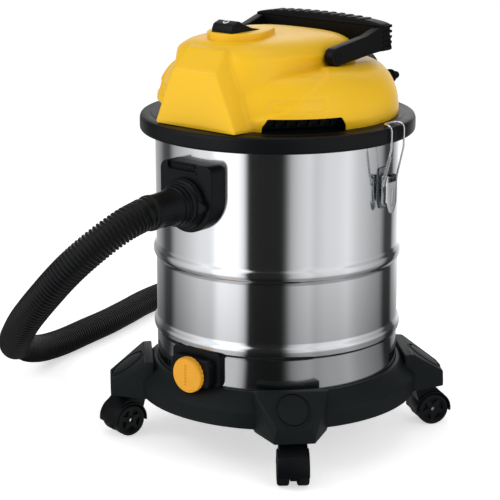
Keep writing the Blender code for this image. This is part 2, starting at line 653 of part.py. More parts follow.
def ring_at(height, side, front, rear, power, inset=0.0, count=36):
    """One level of the cover: a rounded outline with its own reach to each side."""
    points = []
    for i in range(count):
        angle = 2 * pi * i / count
        c, s = cos(angle), sin(angle)
        reach_y = (rear if s > 0 else -front) - inset
        x = (side - inset) * abs(c) ** (2 / power) * (1 if c > 0 else -1)
        y = reach_y * abs(s) ** (2 / power) * (1 if s > 0 else -1)
        points.append((x, y, height))
    return points


def shoulder_rings(inset, drop):
    """The wide lower tier. Each level: height, side, front, rear, squareness."""
    levels = [(COVER_Z, COVER_SIDE, -0.143, COVER_SIDE, 2.0), (0.437 + LIFT, COVER_SIDE - 0.002, -0.142, 0.148, 2.0),
              (0.452 + LIFT, COVER_SIDE - 0.008, -0.138, 0.142, 2.05), (0.465 + LIFT, COVER_SIDE - 0.017, -0.132, 0.133, 2.1),
              (0.4745 + LIFT, COVER_SIDE - 0.030, -0.124, 0.120, 2.2),
              (0.479 + LIFT, COVER_SIDE - 0.048, -0.112, 0.104, 2.3)]
    return [ring_at(z - (drop if i else 0.002 if drop else 0), a, f, r, p, inset)
            for i, (z, a, f, r, p) in enumerate(levels)]


def ridge_rings(inset, drop):
    """The narrow upper tier between the handle's arms."""
    half = RIDGE_HALF
    levels = [(0.4560, half, -0.136, 0.090, 3.4), (0.4800, half, -0.136, 0.084, 3.4),
              (0.4980, half - 0.002, -0.133, 0.076, 3.4), (0.5070, half - 0.008, -0.128, 0.066, 3.2),
              (0.5125, half - 0.020, -0.118, 0.050, 3.0), (COVER_TOP_Z, half - 0.038, -0.100, 0.028, 2.6)]
    return [ring_at(z + (LIFT if z < COVER_TOP_Z else 0) - drop, a, f, r, p, inset) for z, a, f, r, p in levels]


def nose_rings(inset, drop):
    """The flat-fronted block that carries the front panel."""
    rings = []
    for height, half, front in ((COVER_Z, NOSE_BOTTOM_HALF, NOSE_Y),
                                (NOSE_TOP_Z - 0.004, NOSE_TOP_HALF + 0.0015, NOSE_Y),
                                (NOSE_TOP_Z, NOSE_TOP_HALF, NOSE_Y + 0.004),
                                (0.5080 + LIFT, NOSE_TOP_HALF - 0.002, -0.1340)):
        low = 0.002 if drop and height == COVER_Z else 0
        front, half = front + inset, half - inset
        height = height - (drop if height > COVER_Z else low)
        rings.append([(half, front, height), (half + 0.010, -0.090, height),
                      (-half - 0.010, -0.090, height), (-half, front, height)])
    return rings


def make_cover(yellow, black):
    wall = COVER_WALL
    cover = loft("head_cover", shoulder_rings(0, 0), yellow)
    join(cover, loft("ridge", ridge_rings(0, 0), None), loft("nose", nose_rings(0, 0), None))
    island = (arc((0, ISLAND_FRONT_Y + ISLAND_HALF), ISLAND_HALF, 180, 360, 14)
              + [(ISLAND_HALF * 0.80, -0.052), (ISLAND_HALF * 0.45, ISLAND_REAR_Y),
                 (-ISLAND_HALF * 0.45, ISLAND_REAR_Y), (-ISLAND_HALF * 0.80, -0.052)])
    join(cover, flat("island", [island], 0.4950 + LIFT, ISLAND_TOP_Z, None))
    cut(cover, loft("shoulder_room", shoulder_rings(wall, wall), None),
        loft("ridge_room", ridge_rings(wall, wall), None),
        loft("nose_room", nose_rings(wall, wall), None))
    half = ROCKER_HALF + ROCKER_PLAY / 2
    cut(cover, block("rocker_hole", (-half, ROCKER_FRONT_Y - ROCKER_PLAY, 0.480 + LIFT),
                     (half, ROCKER_REAR_Y + ROCKER_PLAY, 0.540 + LIFT), None))
    for side, name in ((1, "right"), (-1, "left")):
        vent = compass(side * VENT_ANGLE)
        cut(cover, block(f"vent_hole_{name}", (VENT_PLANE - VENT_DEPTH, -VENT_HALF_WIDTH, COVER_Z - 0.01),
                         (0.200, VENT_HALF_WIDTH, COVER_Z + VENT_HEIGHT), None, matrix=vent))
        pin = at(0, HANDLE_PIVOT_Y, HANDLE_PIVOT_Z) @ Matrix.Rotation(side * pi / 2, 4, "Y")
        cut(cover, rod(f"pin_hole_{name}", HANDLE_PIN + GAP, RIDGE_HALF - 0.02, RIDGE_HALF + 0.02, None,
                       pin, sides=20))
        grille = block(f"vent_grille_{name}",
                       (VENT_PLANE - VENT_DEPTH + GAP, -VENT_HALF_WIDTH + GAP, COVER_Z),
                       (VENT_PLANE, VENT_HALF_WIDTH - GAP, COVER_Z + VENT_HEIGHT - GAP), black, matrix=vent)
        pitch = (2 * VENT_HALF_WIDTH - 0.012) / LOUVRES
        for i in range(LOUVRES):
            left = -VENT_HALF_WIDTH + 0.007 + pitch * i
            cut(grille, block(f"louvre_{name}_{i}", (VENT_PLANE - 0.02, left, COVER_Z + 0.0030),
                              (VENT_PLANE + 0.01, left + pitch - 0.0040, COVER_Z + VENT_HEIGHT - 0.0033),
                              None, matrix=vent))
    port = at(z=PORT_Z) @ BACKWARD
    cut(cover, rod("port_hole", PORT_RADIUS + GAP, 0.10, 0.20, None, port, sides=28),
        rod("gland_hole", GLAND_RADIUS + GAP, 0.08, 0.20, None, at(GLAND_X, 0, PORT_Z) @ BACKWARD, sides=16))


def make_rear_fittings(black, rubber):
    inner = PORT_RADIUS - PORT_WALL
    rear = COVER_SIDE + 0.0015
    profile = [(inner, END_REACH), (PORT_RADIUS, END_REACH), (PORT_RADIUS, rear + 0.003),
               (PORT_RADIUS + 0.005, rear + 0.003), (PORT_RADIUS + 0.005, rear), (PORT_RADIUS, rear),
               (PORT_RADIUS, COVER_SIDE - 0.022), (inner, COVER_SIDE - 0.022)]
    turned("blower_port", profile, black, at(z=PORT_Z) @ BACKWARD, steps=24)
    seat = sqrt(COVER_SIDE ** 2 - (GLAND_X - 0.010) ** 2) + 0.001
    gland = [(0, seat + 0.016), (GLAND_RADIUS - 0.0020, seat + 0.016), (GLAND_RADIUS - 0.0005, seat + 0.003),
             (GLAND_RADIUS + 0.003, seat + 0.003), (GLAND_RADIUS + 0.003, seat), (GLAND_RADIUS, seat),
             (GLAND_RADIUS, seat - 0.020), (0, seat - 0.020)]
    turned("cable_gland", gland, rubber, at(GLAND_X, 0, PORT_Z) @ BACKWARD, steps=16)


def make_switch(black):
    middle = (ROCKER_FRONT_Y + ROCKER_REAR_Y) / 2
    half = (ROCKER_REAR_Y - ROCKER_FRONT_Y) / 2
    side_view = [(-half + 0.0030, -0.0065), (half - 0.0030, -0.0065), (half, 0.0020), (half, 0.0065),
                 (half - 0.012, 0.0080), (-half + 0.022, 0.0150), (-half + 0.010, 0.0185),
                 (-half + 0.0035, 0.0165), (-half, 0.0100), (-half, 0.0020)]
    pose = at(0, middle, ROCKER_AXIS_Z) @ SIDEWAYS
    flat("switch_rocker", [side_view], -ROCKER_HALF, ROCKER_HALF, black, pose)
    top = ROCKER_AXIS_Z - 0.0065 - 0.0065
    block("switch_body", (-ROCKER_HALF + 0.001, ROCKER_FRONT_Y + 0.006, top - 0.016),
          (ROCKER_HALF - 0.001, ROCKER_REAR_Y - 0.004, top), black, bevel=0.001)


def make_handle(black, steel):
    inner = RIDGE_HALF + 0.0030
    outer = inner + HANDLE_ARM
    pivot = (HANDLE_PIVOT_Y, HANDLE_PIVOT_Z)
    front_y = HANDLE_REAR_Y - HANDLE_GRIP_DEPTH
    arm = (arc(pivot, HANDLE_BOSS, 105, 285, 10)
           + [(HANDLE_REAR_Y - 0.004, HANDLE_GRIP_BOTTOM_Z), (HANDLE_REAR_Y, HANDLE_GRIP_BOTTOM_Z + 0.004),
              (HANDLE_REAR_Y, HANDLE_GRIP_TOP_Z - 0.005), (HANDLE_REAR_Y - 0.005, HANDLE_GRIP_TOP_Z),
              (front_y, HANDLE_GRIP_TOP_Z - 0.001)])
    top = [(outer * x, HANDLE_GRIP_TOP_Z + HANDLE_ARCH * rise) for x, rise in arc((0, 0), 1, 0, 180, 14)]
    bottom = [(-x, z - HANDLE_GRIP_TOP_Z + HANDLE_GRIP_BOTTOM_Z) for x, z in top]
    grip_pose = at(y=HANDLE_REAR_Y) @ FORWARD
    handle = flat("carry_handle", [top + bottom], 0.0, HANDLE_GRIP_DEPTH, black, grip_pose)
    hinge_at(handle, 0, HANDLE_PIVOT_Y, HANDLE_PIVOT_Z)
    for side, name in ((1, "right"), (-1, "left")):
        low, high = (inner, outer) if side > 0 else (-outer, -inner)
        join(handle, flat(f"arm_{name}", [arm], low, high, None, SIDEWAYS))
        turn = at(0, HANDLE_PIVOT_Y, HANDLE_PIVOT_Z) @ Matrix.Rotation(side * pi / 2, 4, "Y")
        cut(handle, rod(f"handle_hole_{name}", HANDLE_PIN + RUNNING, inner - 0.01, outer - 0.003, None,
                        turn, sides=24))
        pin = [(0, outer - 0.004), (HANDLE_PIN, outer - 0.004), (HANDLE_PIN, RIDGE_HALF - 0.0060),
               (0, RIDGE_HALF - 0.0060)]
        turned(f"handle_pin_{name}", pin, steel, turn, steps=20)


# ---------------------------------------------------------------- latches

def make_latch(side, name, steel, dark):
    """A toggle latch on the tank's side; side is +1 on +X and -1 on -X."""
    mirror = Matrix.Diagonal((side, 1, 1, 1))
    pivot_x = TANK_RADIUS + LATCH_PIVOT_REACH
    seat = TANK_RADIUS + GAP

    def across(x, z):
        """Axis of a latch pin: along Y, through the point."""
        return at(side * x, LATCH_Y, z) @ FORWARD

    def placed(low, high):
        a, b = mirror @ Vector(low), mirror @ Vector(high)
        return [min(p, q) for p, q in zip(a, b)], [max(p, q) for p, q in zip(a, b)]

    ear = LEVER_HALF - LEVER_WALL - 0.0024
    low, high = placed((seat - 0.004, LATCH_Y - ear - 0.002, LATCH_PIVOT_Z - 0.030),
                       (seat + 0.0014, LATCH_Y + ear + 0.002, LATCH_PIVOT_Z + 0.012))
    bracket = block(f"latch_bracket_{name}", low, high, dark)
    for tag, y in (("front", -ear), ("rear", ear - 0.0014)):
        low, high = placed((seat - 0.003, LATCH_Y + y, LATCH_PIVOT_Z - 0.0035),
                           (pivot_x + 0.0015, LATCH_Y + y + 0.0014, LATCH_PIVOT_Z + 0.0035))
        join(bracket, block(f"ear_{name}_{tag}", low, high, None))
    join(bracket, rod(f"latch_pin_{name}", 0.0015, -LEVER_HALF - 0.0006, LEVER_HALF + 0.0006, None,
                      across(pivot_x, LATCH_PIVOT_Z), sides=16))
    cut(bracket, tank_form(f"bracket_saddle_{name}"))

    # the lever is a channel, open to the tank, that hangs down over the bracket
    outside = pivot_x + 0.0052
    width, wall = LEVER_HALF, LEVER_WALL
    channel = [(pivot_x - 0.0035, -width), (outside, -width), (outside, width), (pivot_x - 0.0035, width),
               (pivot_x - 0.0035, width - wall), (outside - wall, width - wall),
               (outside - wall, -width + wall), (pivot_x - 0.0035, -width + wall)]
    channel = [(side * x, y + LATCH_Y) for x, y in channel]
    lever = flat(f"latch_lever_{name}", [channel], LATCH_PIVOT_Z - LEVER_LENGTH, LATCH_PIVOT_Z + 0.0045, steel)
    hinge_at(lever, side * pivot_x, LATCH_Y, LATCH_PIVOT_Z)
    crank_x, crank_z = pivot_x + 0.0006, LATCH_PIVOT_Z - LATCH_CRANK
    fork = width - wall - 0.0011                 # the lever's face clears the ears as it swings up
    low, high = placed((outside - 2 * wall, LATCH_Y - fork, LATCH_PIVOT_Z - 0.0042),
                       (outside + 0.001, LATCH_Y + fork, LATCH_PIVOT_Z + 0.010))
    cut(lever,
        block(f"lever_fork_{name}", low, high, None),
        rod(f"lever_hole_{name}", 0.0015 + RUNNING, -0.02, 0.02, None, across(pivot_x, LATCH_PIVOT_Z), sides=16),
        rod(f"crank_hole_{name}", BAIL_WIRE + RUNNING, -0.02, 0.02, None, across(crank_x, crank_z), sides=16))

    # the wire bail: up past the collar, over its edge, and across on its deck
    leg = LEVER_HALF + BAIL_WIRE + 0.0007
    clear = COLLAR_RADIUS + BAIL_WIRE + 0.0012
    over = COLLAR_TOP_Z + BAIL_WIRE + GAP
    half = [(crank_x, LEVER_HALF - LEVER_WALL - 0.0009, crank_z), (crank_x, leg, crank_z),
            (crank_x + 0.0005, leg, crank_z + 0.004), (clear, leg, COLLAR_BOTTOM_Z - 0.006),
            (clear, leg, over - 0.005), (clear - 0.0015, leg, over - 0.0012), (clear - 0.005, leg, over),
            (clear - 0.011, leg - 0.001, over), (clear - 0.013, leg - 0.004, over)]
    path = half + [(x, -y, z) for x, y, z in reversed(half)]
    bail = tube(f"latch_bail_{name}", [(side * x, y + LATCH_Y, z) for x, y, z in path], BAIL_WIRE, steel)
    hinge_at(bail, side * crank_x, LATCH_Y, crank_z)


# ---------------------------------------------------------------- inside the head

def make_motor(steel, rubber, white):
    base = PAN_FLOOR_Z + GAP
    gasket_top = base + 0.0030
    turned("motor_gasket", [(0.050, gasket_top), (0.062, gasket_top), (0.062, base), (0.050, base)],
           rubber, steps=24)
    low = gasket_top + GAP
    high = low + 0.0220
    rim = FAN_RADIUS + 0.0060
    turned("fan_shroud",
           [(0.012, high), (rim, high), (rim, low), (0.020, low), (0.020, low + 0.0015),
            (rim - 0.0015, low + 0.0015), (rim - 0.0015, high - 0.0015), (0.012, high - 0.0015)],
           steel, steps=24)
    vane = []
    for i in range(FAN_BLADES):
        for turn, radius in ((0.00, 0.018), (0.34, FAN_RADIUS), (0.46, FAN_RADIUS), (0.30, 0.018)):
            angle = 2 * pi * (i + turn) / FAN_BLADES
            vane.append((radius * cos(angle), radius * sin(angle)))
    bore = arc((0, 0), SHAFT_RADIUS + GAP, 0, 360 - 360 / 16, 15)
    flat("fan_impeller", [vane, bore], low + 0.0045, high - 0.0050, white)
    foot = high + GAP
    top = foot + MOTOR_HEIGHT
    bush = SHAFT_RADIUS + RUNNING
    turned("motor", [(bush, top), (MOTOR_RADIUS * 0.6, top), (MOTOR_RADIUS, top - 0.012),
                     (MOTOR_RADIUS, foot), (bush, foot)], steel, steps=24)
    rod("motor_shaft", SHAFT_RADIUS, low + 0.0040, top + 0.004, steel, sides=16)


def make_float_and_filter(black, white, paper):
    hang = PAN_FLOOR_Z - PAN_FLOOR_THICKNESS - GAP
    plate = hang - 0.0025
    floor = hang - CAGE_DEPTH
    inner = CAGE_RADIUS - CAGE_WALL
    flange = FILTER_OUTER + 0.002
    cage = turned("float_cage",
                  [(0, floor + CAGE_WALL), (inner, floor + CAGE_WALL), (inner, plate), (FLOAT_SEAT, plate),
                   (FLOAT_SEAT, hang), (flange, hang), (flange, plate), (CAGE_RADIUS, plate),
                   (CAGE_RADIUS, floor), (0, floor)], black, steps=24)
    for i in range(3):
        cut(cage, block(f"cage_window_{i}", (-0.06, -0.010, floor + 0.008), (0.06, 0.010, plate - 0.008),
                        None, matrix=Matrix.Rotation(pi * (i + 0.5) / 3, 4, "Z")))
    work = bmesh.new()
    bmesh.ops.create_uvsphere(work, u_segments=14, v_segments=9, radius=FLOAT_RADIUS)
    mesh = bpy.data.meshes.new("float_ball")
    work.to_mesh(mesh)
    work.free()
    part("float_ball", mesh, white, at(z=floor + CAGE_WALL + GAP + FLOAT_RADIUS))

    pleats = []
    for i in range(FILTER_PLEATS):
        for turn, radius in ((0.0, FILTER_OUTER), (0.5, FILTER_OUTER - 0.006)):
            angle = 2 * pi * (i + turn) / FILTER_PLEATS
            pleats.append((radius * cos(angle), radius * sin(angle)))
    bore = arc((0, 0), FILTER_INNER, 0, 360 - 360 / 28, 27)
    flat("filter_cartridge", [pleats, bore], floor, plate - GAP, paper)
    turned("filter_cap", [(0, floor - GAP), (flange, floor - GAP), (flange, floor - 0.004),
                          (0.012, floor - 0.006), (0.012, floor - 0.016), (0, floor - 0.016)],
           black, steps=24)


# ---------------------------------------------------------------- build

for old in list(bpy.data.objects):
    bpy.data.objects.remove(old, do_unlink=True)
PARTS = new_collection("Shop vacuum")
CUTTERS = new_collection("Cutters", hidden=True)

STEEL_DRUM = material("Stainless sheet", "C9CCCF", 0.22, 1.0)
YELLOW = material("Yellow ABS", "F3B91F", 0.32)
CAP_YELLOW = material("Orange yellow ABS", "F2AB2E", 0.38)
BLACK = material("Black ABS", "1C2022", 0.42)
BASE_BLACK = material("Black polypropylene", "23292B", 0.50)
HOSE_BLACK = material("Black polyethylene", "15171A", 0.45)
TYRE = material("Black nylon wheel", "141618", 0.55)
PLATED = material("Nickel plate", "D5D7D9", 0.18, 1.0)
RUBBER = material("Black rubber", "111214", 0.75)
WHITE = material("White nylon", "E6E6E2", 0.45)
PAPER = material("Filter paper", "E9E4D4", 0.90)

make_tank(STEEL_DRUM)
make_base(BASE_BLACK)
for corner in LEG_ANGLES:
    make_caster(corner, BLACK, TYRE, PLATED)
make_inlet(BLACK)
make_lock_ring(BLACK)
make_hose(BLACK, HOSE_BLACK)
make_drain(BLACK, CAP_YELLOW, RUBBER)
make_pan(BLACK, RUBBER)
make_cover(YELLOW, BLACK)
make_rear_fittings(BLACK, RUBBER)
make_switch(BLACK)
make_handle(BLACK, PLATED)
make_latch(1, "right", PLATED, BLACK)
make_latch(-1, "left", PLATED, BLACK)
make_motor(PLATED, RUBBER, WHITE)
make_float_and_filter(BLACK, WHITE, PAPER)
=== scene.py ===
"""A wet and dry shop vacuum: the looks of each piece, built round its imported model.

Metres, +Z up. The origin is on the floor under the tank's axis, the front faces -Y.
"""

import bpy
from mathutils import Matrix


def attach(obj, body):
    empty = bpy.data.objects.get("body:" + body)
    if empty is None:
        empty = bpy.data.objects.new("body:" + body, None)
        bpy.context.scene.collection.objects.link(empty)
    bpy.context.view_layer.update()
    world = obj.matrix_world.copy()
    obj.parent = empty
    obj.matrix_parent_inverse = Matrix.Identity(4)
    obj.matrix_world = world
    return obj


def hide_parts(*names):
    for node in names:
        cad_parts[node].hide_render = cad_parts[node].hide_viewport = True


bl_info = {
    "name": "Shop vacuum",
    "version": (1, 0, 0),
    "blender": (4, 5, 0),
    "location": "View3D > Sidebar > Shop vacuum",
    "description": "Builds the visible pieces of a wet and dry drum vacuum round its frame",
    "category": "Object",
}

from math import atan2, cos, exp, pi, radians, sin

import bmesh
import bpy
from bpy.props import FloatProperty, FloatVectorProperty, IntProperty, PointerProperty
from mathutils import Matrix, Vector

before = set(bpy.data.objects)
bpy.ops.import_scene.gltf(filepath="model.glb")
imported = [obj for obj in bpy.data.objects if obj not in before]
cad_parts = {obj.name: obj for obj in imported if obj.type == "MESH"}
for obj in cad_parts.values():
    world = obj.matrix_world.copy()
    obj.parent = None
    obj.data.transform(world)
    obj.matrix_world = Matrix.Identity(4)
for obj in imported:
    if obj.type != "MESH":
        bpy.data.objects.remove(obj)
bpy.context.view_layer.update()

MM = 0.001
GAP = 0.0003                                  # between pieces that touch

# Sizes that pieces share, all on the frame
TANK_RADIUS = 0.152
TANK_FLOOR_Z = 0.082
TANK_RIM_Z = 0.4012
BEAD_HEIGHTS = (0.243, 0.148)
SWIVEL_RADIUS = 0.187
LEG_ANGLES = {"front_right": 45, "front_left": -45, "rear_right": 135, "rear_left": -135}
CASTER_HEADINGS = {"front_right": 42, "front_left": -12, "rear_right": 146, "rear_left": -100}
CASTER_TRAIL = 0.013
WHEEL_RADIUS = 0.0205
WHEEL_WIDTH = 0.0148
WEB_HALF = 0.0044
CASTER_TOP_Z = 0.0529
INLET_Z = 0.328
INLET_FACE = 0.171
DRAIN_Z = 0.114
DRAIN_FACE = 0.1658
COLLAR_RADIUS = 0.1707
COLLAR_TOP_Z = 0.415
COVER_Z = 0.4153
RIDGE_HALF = 0.0835
VENT_ANGLE = 52
VENT_PLANE = 0.1205
PORT_Z = 0.447
HANDLE_PIVOT = (-0.009, 0.4915)               # Y and Z of the handle's pins
LATCH_Y = 0.013
LATCH_PIVOT = (0.1615, 0.350)                 # X and Z of the lever's pin
LATCH_CRANK = (0.1621, 0.341)                 # X and Z of the wire's ends in the lever
LATCH_OUTSIDE = 0.1667                        # X of the lever's face
SWITCH_PIVOT = (-0.0795, 0.5175)              # Y and Z of the rocker's axis
COVER_WALL = 0.003
GLAND_X = 0.070                               # the cable leaves beside the blower port

HOSE_RADIUS = 0.0195
HOSE_START = (0.0, -0.2373, INLET_Z)
HOSE_ROUTE = [
    (0.000, -0.2440, 0.3280), (-0.007, -0.2700, 0.3190), (-0.025, -0.2960, 0.2980),
    (-0.051, -0.3150, 0.2690), (-0.084, -0.3230, 0.2330), (-0.122, -0.3200, 0.1950),
    (-0.159, -0.3020, 0.1620), (-0.198, -0.2690, 0.1370), (-0.236, -0.2300, 0.1190), (-0.275, -0.1900, 0.1030),
    (-0.314, -0.1530, 0.0850), (-0.350, -0.1160, 0.0640), (-0.381, -0.0770, 0.0430),
    (-0.404, -0.0300, 0.0270), (-0.418, 0.0220, 0.0200), (-0.427, 0.0780, 0.0200),
    (-0.436, 0.1340, 0.0200), (-0.449, 0.1890, 0.0200), (-0.463, 0.2440, 0.0200),
    (-0.469, 0.3010, 0.0200), (-0.455, 0.3590, 0.0200), (-0.419, 0.4080, 0.0200),
    (-0.366, 0.4400, 0.0200), (-0.304, 0.4500, 0.0200), (-0.243, 0.4370, 0.0200),
    (-0.193, 0.4020, 0.0200), (-0.157, 0.3550, 0.0200), (-0.139, 0.3000, 0.0200),
]
END_CUFF_LENGTH = 0.070

FORWARD = Matrix.Rotation(pi / 2, 4, "X")     # +Z becomes -Y, and +Y becomes +Z
BACKWARD = Matrix.Rotation(-pi / 2, 4, "X")   # +Z becomes +Y
SIDEWAYS = Matrix.Rotation(pi / 2, 4, "Z") @ Matrix.Rotation(pi / 2, 4, "X")   # XY goes to YZ


# ---------------------------------------------------------------- tools

def linear(hex_colour):
    """An sRGB hex colour as linear RGBA."""
    channels = [int(hex_colour[i:i + 2], 16) / 255 for i in (0, 2, 4)]
    return (*[c / 12.92 if c <= 0.04045 else ((c + 0.055) / 1.055) ** 2.4 for c in channels], 1.0)


def at(x=0.0, y=0.0, z=0.0):
    return Matrix.Translation((x, y, z))


def compass(degrees_from_front):
    """Turns +X to a heading seen from above: 0 is the front (-Y), 90 is +X."""
    return Matrix.Rotation(radians(degrees_from_front - 90), 4, "Z")


def arc(centre, radius, start, end, count):
    """Points of a circular arc, angles in degrees."""
    turns = [radians(start + (end - start) * i / count) for i in range(count + 1)]
    return [(centre[0] + radius * cos(a), centre[1] + radius * sin(a)) for a in turns]


def rounded(half_x, low_y, high_y, corner, count=5):
    """A rectangle outline with round corners, symmetric in X."""
    x, low, high = half_x - corner, low_y + corner, high_y - corner
    return (arc((x, low), corner, -90, 0, count) + arc((x, high), corner, 0, 90, count)
            + arc((-x, high), corner, 90, 180, count) + arc((-x, low), corner, 180, 270, count))


def eased(points, radius, closed=False, count=3):
    """The outline with its corners rounded."""
    soft = []
    for i, point in enumerate(points):
        corner = Vector(point)
        if not closed and i in (0, len(points) - 1):
            soft.append(tuple(corner))
            continue
        before, after = Vector(points[i - 1]) - corner, Vector(points[(i + 1) % len(points)]) - corner
        reach = min(radius, before.length * 0.45, after.length * 0.45)
        start, end = corner + before.normalized() * reach, corner + after.normalized() * reach
        for k in range(count + 1):
            t = k / count
            soft.append(tuple(start * (1 - t) ** 2 + corner * 2 * t * (1 - t) + end * t * t))
    return soft


def smooth_step(low, high, value):
    t = min(max((value - low) / (high - low), 0), 1)
    return t * t * (3 - 2 * t)


def finished(name, work, material, angle=32):
    """The bmesh as an object, smooth but for edges sharper than the angle."""
    mesh = bpy.data.meshes.new(name)
    work.to_mesh(mesh)
    work.free()
    mesh.materials.append(material)
    mesh.shade_smooth()
    mesh.set_sharp_from_angle(angle=radians(angle))
    obj = bpy.data.objects.new(name, mesh)
    bpy.context.scene.collection.objects.link(obj)
    return obj


def spin(work, profile, steps, matrix=None):
    """Adds a profile of (radius, height) points, spun round Z; off the axis it is a closed ring."""
    verts = [work.verts.new((r, 0, z)) for r, z in profile]
    edges = [work.edges.new(pair) for pair in zip(verts, verts[1:])]
    if profile[0][0] > 0:
        edges.append(work.edges.new((verts[-1], verts[0])))
    bmesh.ops.spin(work, geom=verts + edges, axis=(0, 0, 1), cent=(0, 0, 0), steps=steps,
                   angle=2 * pi, use_merge=True)
    bmesh.ops.remove_doubles(work, verts=work.verts, dist=0.000001)
    bmesh.ops.dissolve_degenerate(work, edges=work.edges, dist=0.000001)
    bmesh.ops.recalc_face_normals(work, faces=work.faces)
    if matrix is not None:
        bmesh.ops.transform(work, matrix=matrix, verts=work.verts)


def spun(name, profile, material, steps=96, matrix=None, angle=32):
    work = bmesh.new()
    spin(work, profile, steps, matrix)
    return finished(name, work, material, angle)


def prism(name, outline, low, high, material, matrix=None, edge=0.0, segments=2, angle=32):
    """A closed XY outline pulled from z = low to z = high, its two rims rounded."""
    work = bmesh.new()
    face = work.faces.new([work.verts.new((x, y, low)) for x, y in outline])
    rim = list(face.edges)
    grown = bmesh.ops.extrude_face_region(work, geom=[face])["geom"]
    bmesh.ops.translate(work, verts=[g for g in grown if isinstance(g, bmesh.types.BMVert)],
                        vec=(0, 0, high - low))
    if edge:
        rim += [g for g in grown if isinstance(g, bmesh.types.BMEdge)]
        bmesh.ops.bevel(work, geom=[e for e in rim if e.is_valid], offset=edge, segments=segments,
                        profile=0.5, affect="EDGES", material=-1)
    bmesh.ops.recalc_face_normals(work, faces=work.faces)
    if matrix is not None:
        bmesh.ops.transform(work, matrix=matrix, verts=work.verts)
    return finished(name, work, material, angle)


def hull(name, points, material, matrix=None, edge=0.0, segments=3, angle=32):
    """The convex solid round some points, with its edges rounded."""
    work = bmesh.new()
    bmesh.ops.convex_hull(work, input=[work.verts.new(p) for p in points])
    bmesh.ops.dissolve_limit(work, angle_limit=radians(2), verts=work.verts, edges=work.edges)
    if edge:
        bmesh.ops.bevel(work, geom=list(work.edges), offset=edge, segments=segments, profile=0.5,
                        affect="EDGES", material=-1)
    bmesh.ops.recalc_face_normals(work, faces=work.faces)
    if matrix is not None:
        bmesh.ops.transform(work, matrix=matrix, verts=work.verts)
    return finished(name, work, material, angle)


def crate(name, low, high, material, matrix=None, edge=0.0, segments=2):
    """A box between two corners, with its edges rounded."""
    corners = [(x, y, z) for x in (low[0], high[0]) for y in (low[1], high[1]) for z in (low[2], high[2])]
    return hull(name, corners, material, matrix, edge, segments)


def tier(name, levels, material, segments=96):
    """A form lofted through rounded outlines. Each level: height, side, front, rear, squareness."""
    work = bmesh.new()
    below = None
    for height, side, front, rear, power in levels:
        ring = bmesh.ops.create_circle(work, cap_ends=False, radius=1, segments=segments)["verts"]
        for vert in ring:
            c, s = vert.co.x, vert.co.y
            vert.co = (side * abs(c) ** (2 / power) * (1 if c > 0 else -1),
                       (rear if s > 0 else -front) * abs(s) ** (2 / power) * (1 if s > 0 else -1), height)
        edges = list({e for v in ring for e in v.link_edges if e.other_vert(v) in ring})
        if below is None:
            bmesh.ops.contextual_create(work, geom=edges)
        else:
            bmesh.ops.bridge_loops(work, edges=below + edges)
        below = edges
    bmesh.ops.contextual_create(work, geom=below)
    bmesh.ops.recalc_face_normals(work, faces=work.faces)
    return finished(name, work, material)


def sweep(name, points, reach, material, sides=12, angle=60):
    """A tube along the points; reach(length so far, angle round) is its radius there."""
    points = [Vector(p) for p in points]
    work = bmesh.new()
    forward = (points[1] - points[0]).normalized()
    across = forward.orthogonal().normalized()
    rings, length = [], 0.0
    for i, point in enumerate(points):
        ahead = (points[min(i + 1, len(points) - 1)] - points[max(i - 1, 0)]).normalized()
        across = (forward.rotation_difference(ahead) @ across).normalized()
        forward = ahead
        length += (point - points[i - 1]).length if i else 0
        up = forward.cross(across)
        rings.append([work.verts.new(point + (across * cos(a) + up * sin(a)) * reach(length, a))
                      for a in [2 * pi * k / sides for k in range(sides)]])
    for low, high in zip(rings, rings[1:]):
        for k in range(sides):
            j = (k + 1) % sides
            work.faces.new((low[k], low[j], high[j], high[k]))
    work.faces.new(reversed(rings[0]))
    work.faces.new(rings[-1])
    return finished(name, work, material, angle)


def resolved(obj):
    """The object with its modifiers applied."""
    bpy.context.view_layer.update()
    graph = bpy.context.evaluated_depsgraph_get()
    mesh = bpy.data.meshes.new_from_object(obj.evaluated_get(graph), depsgraph=graph)
    old, name = obj.data, obj.data.name
    obj.modifiers.clear()
    obj.data = mesh
    bpy.data.meshes.remove(old)
    mesh.name = name
    return obj


def carve(obj, operation, *tools):
    """Cuts the tools from the object, or adds them to it; the tools are used up."""
    for tool in tools:
        modifier = obj.modifiers.new("Shape", "BOOLEAN")
        modifier.operation = operation
        modifier.solver = "MANIFOLD"
        modifier.object = tool
    resolved(obj)
    for tool in tools:
        bpy.data.objects.remove(tool)
    return obj


def cut(obj, *tools):
    return carve(obj, "DIFFERENCE", *tools)


def join(obj, *tools):
    return carve(obj, "UNION", *tools)


def sharpen(obj, angle=32):
    """Marks the sharp edges again after shapes were cut or added."""
    obj.data.shade_smooth()
    obj.data.set_sharp_from_angle(angle=radians(angle))
    return obj


def ready(obj, body, slot, *nodes):
    """The piece rides on its body and stands for its nodes of the frame."""
    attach(obj, body)
    if nodes:
        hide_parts(*nodes)
    return obj


def smooth_route(points, spacing):
    """Evenly spaced points on a smooth curve through the route's own points."""
    knots = [Vector(p) for p in points]
    knots = [2 * knots[0] - knots[1]] + knots + [2 * knots[-1] - knots[-2]]
    dense = []
    for a, b, c, d in zip(knots, knots[1:], knots[2:], knots[3:]):
        for i in range(24):
            t = i / 24
            dense.append(0.5 * (2 * b + (c - a) * t + (2 * a - 5 * b + 4 * c - d) * t * t
                                + (3 * b - a - 3 * c + d) * t ** 3))
    dense.append(knots[-2])
    length = [0.0]
    for a, b in zip(dense, dense[1:]):
        length.append(length[-1] + (b - a).length)
    count = round(length[-1] / spacing) + 1
    spaced, k = [], 0
    for i in range(count):
        want = length[-1] * i / (count - 1)
        while k < len(length) - 2 and length[k + 1] < want:
            k += 1
        spaced.append(dense[k].lerp(dense[k + 1], min((want - length[k]) / (length[k + 1] - length[k]), 1)))
    return spaced


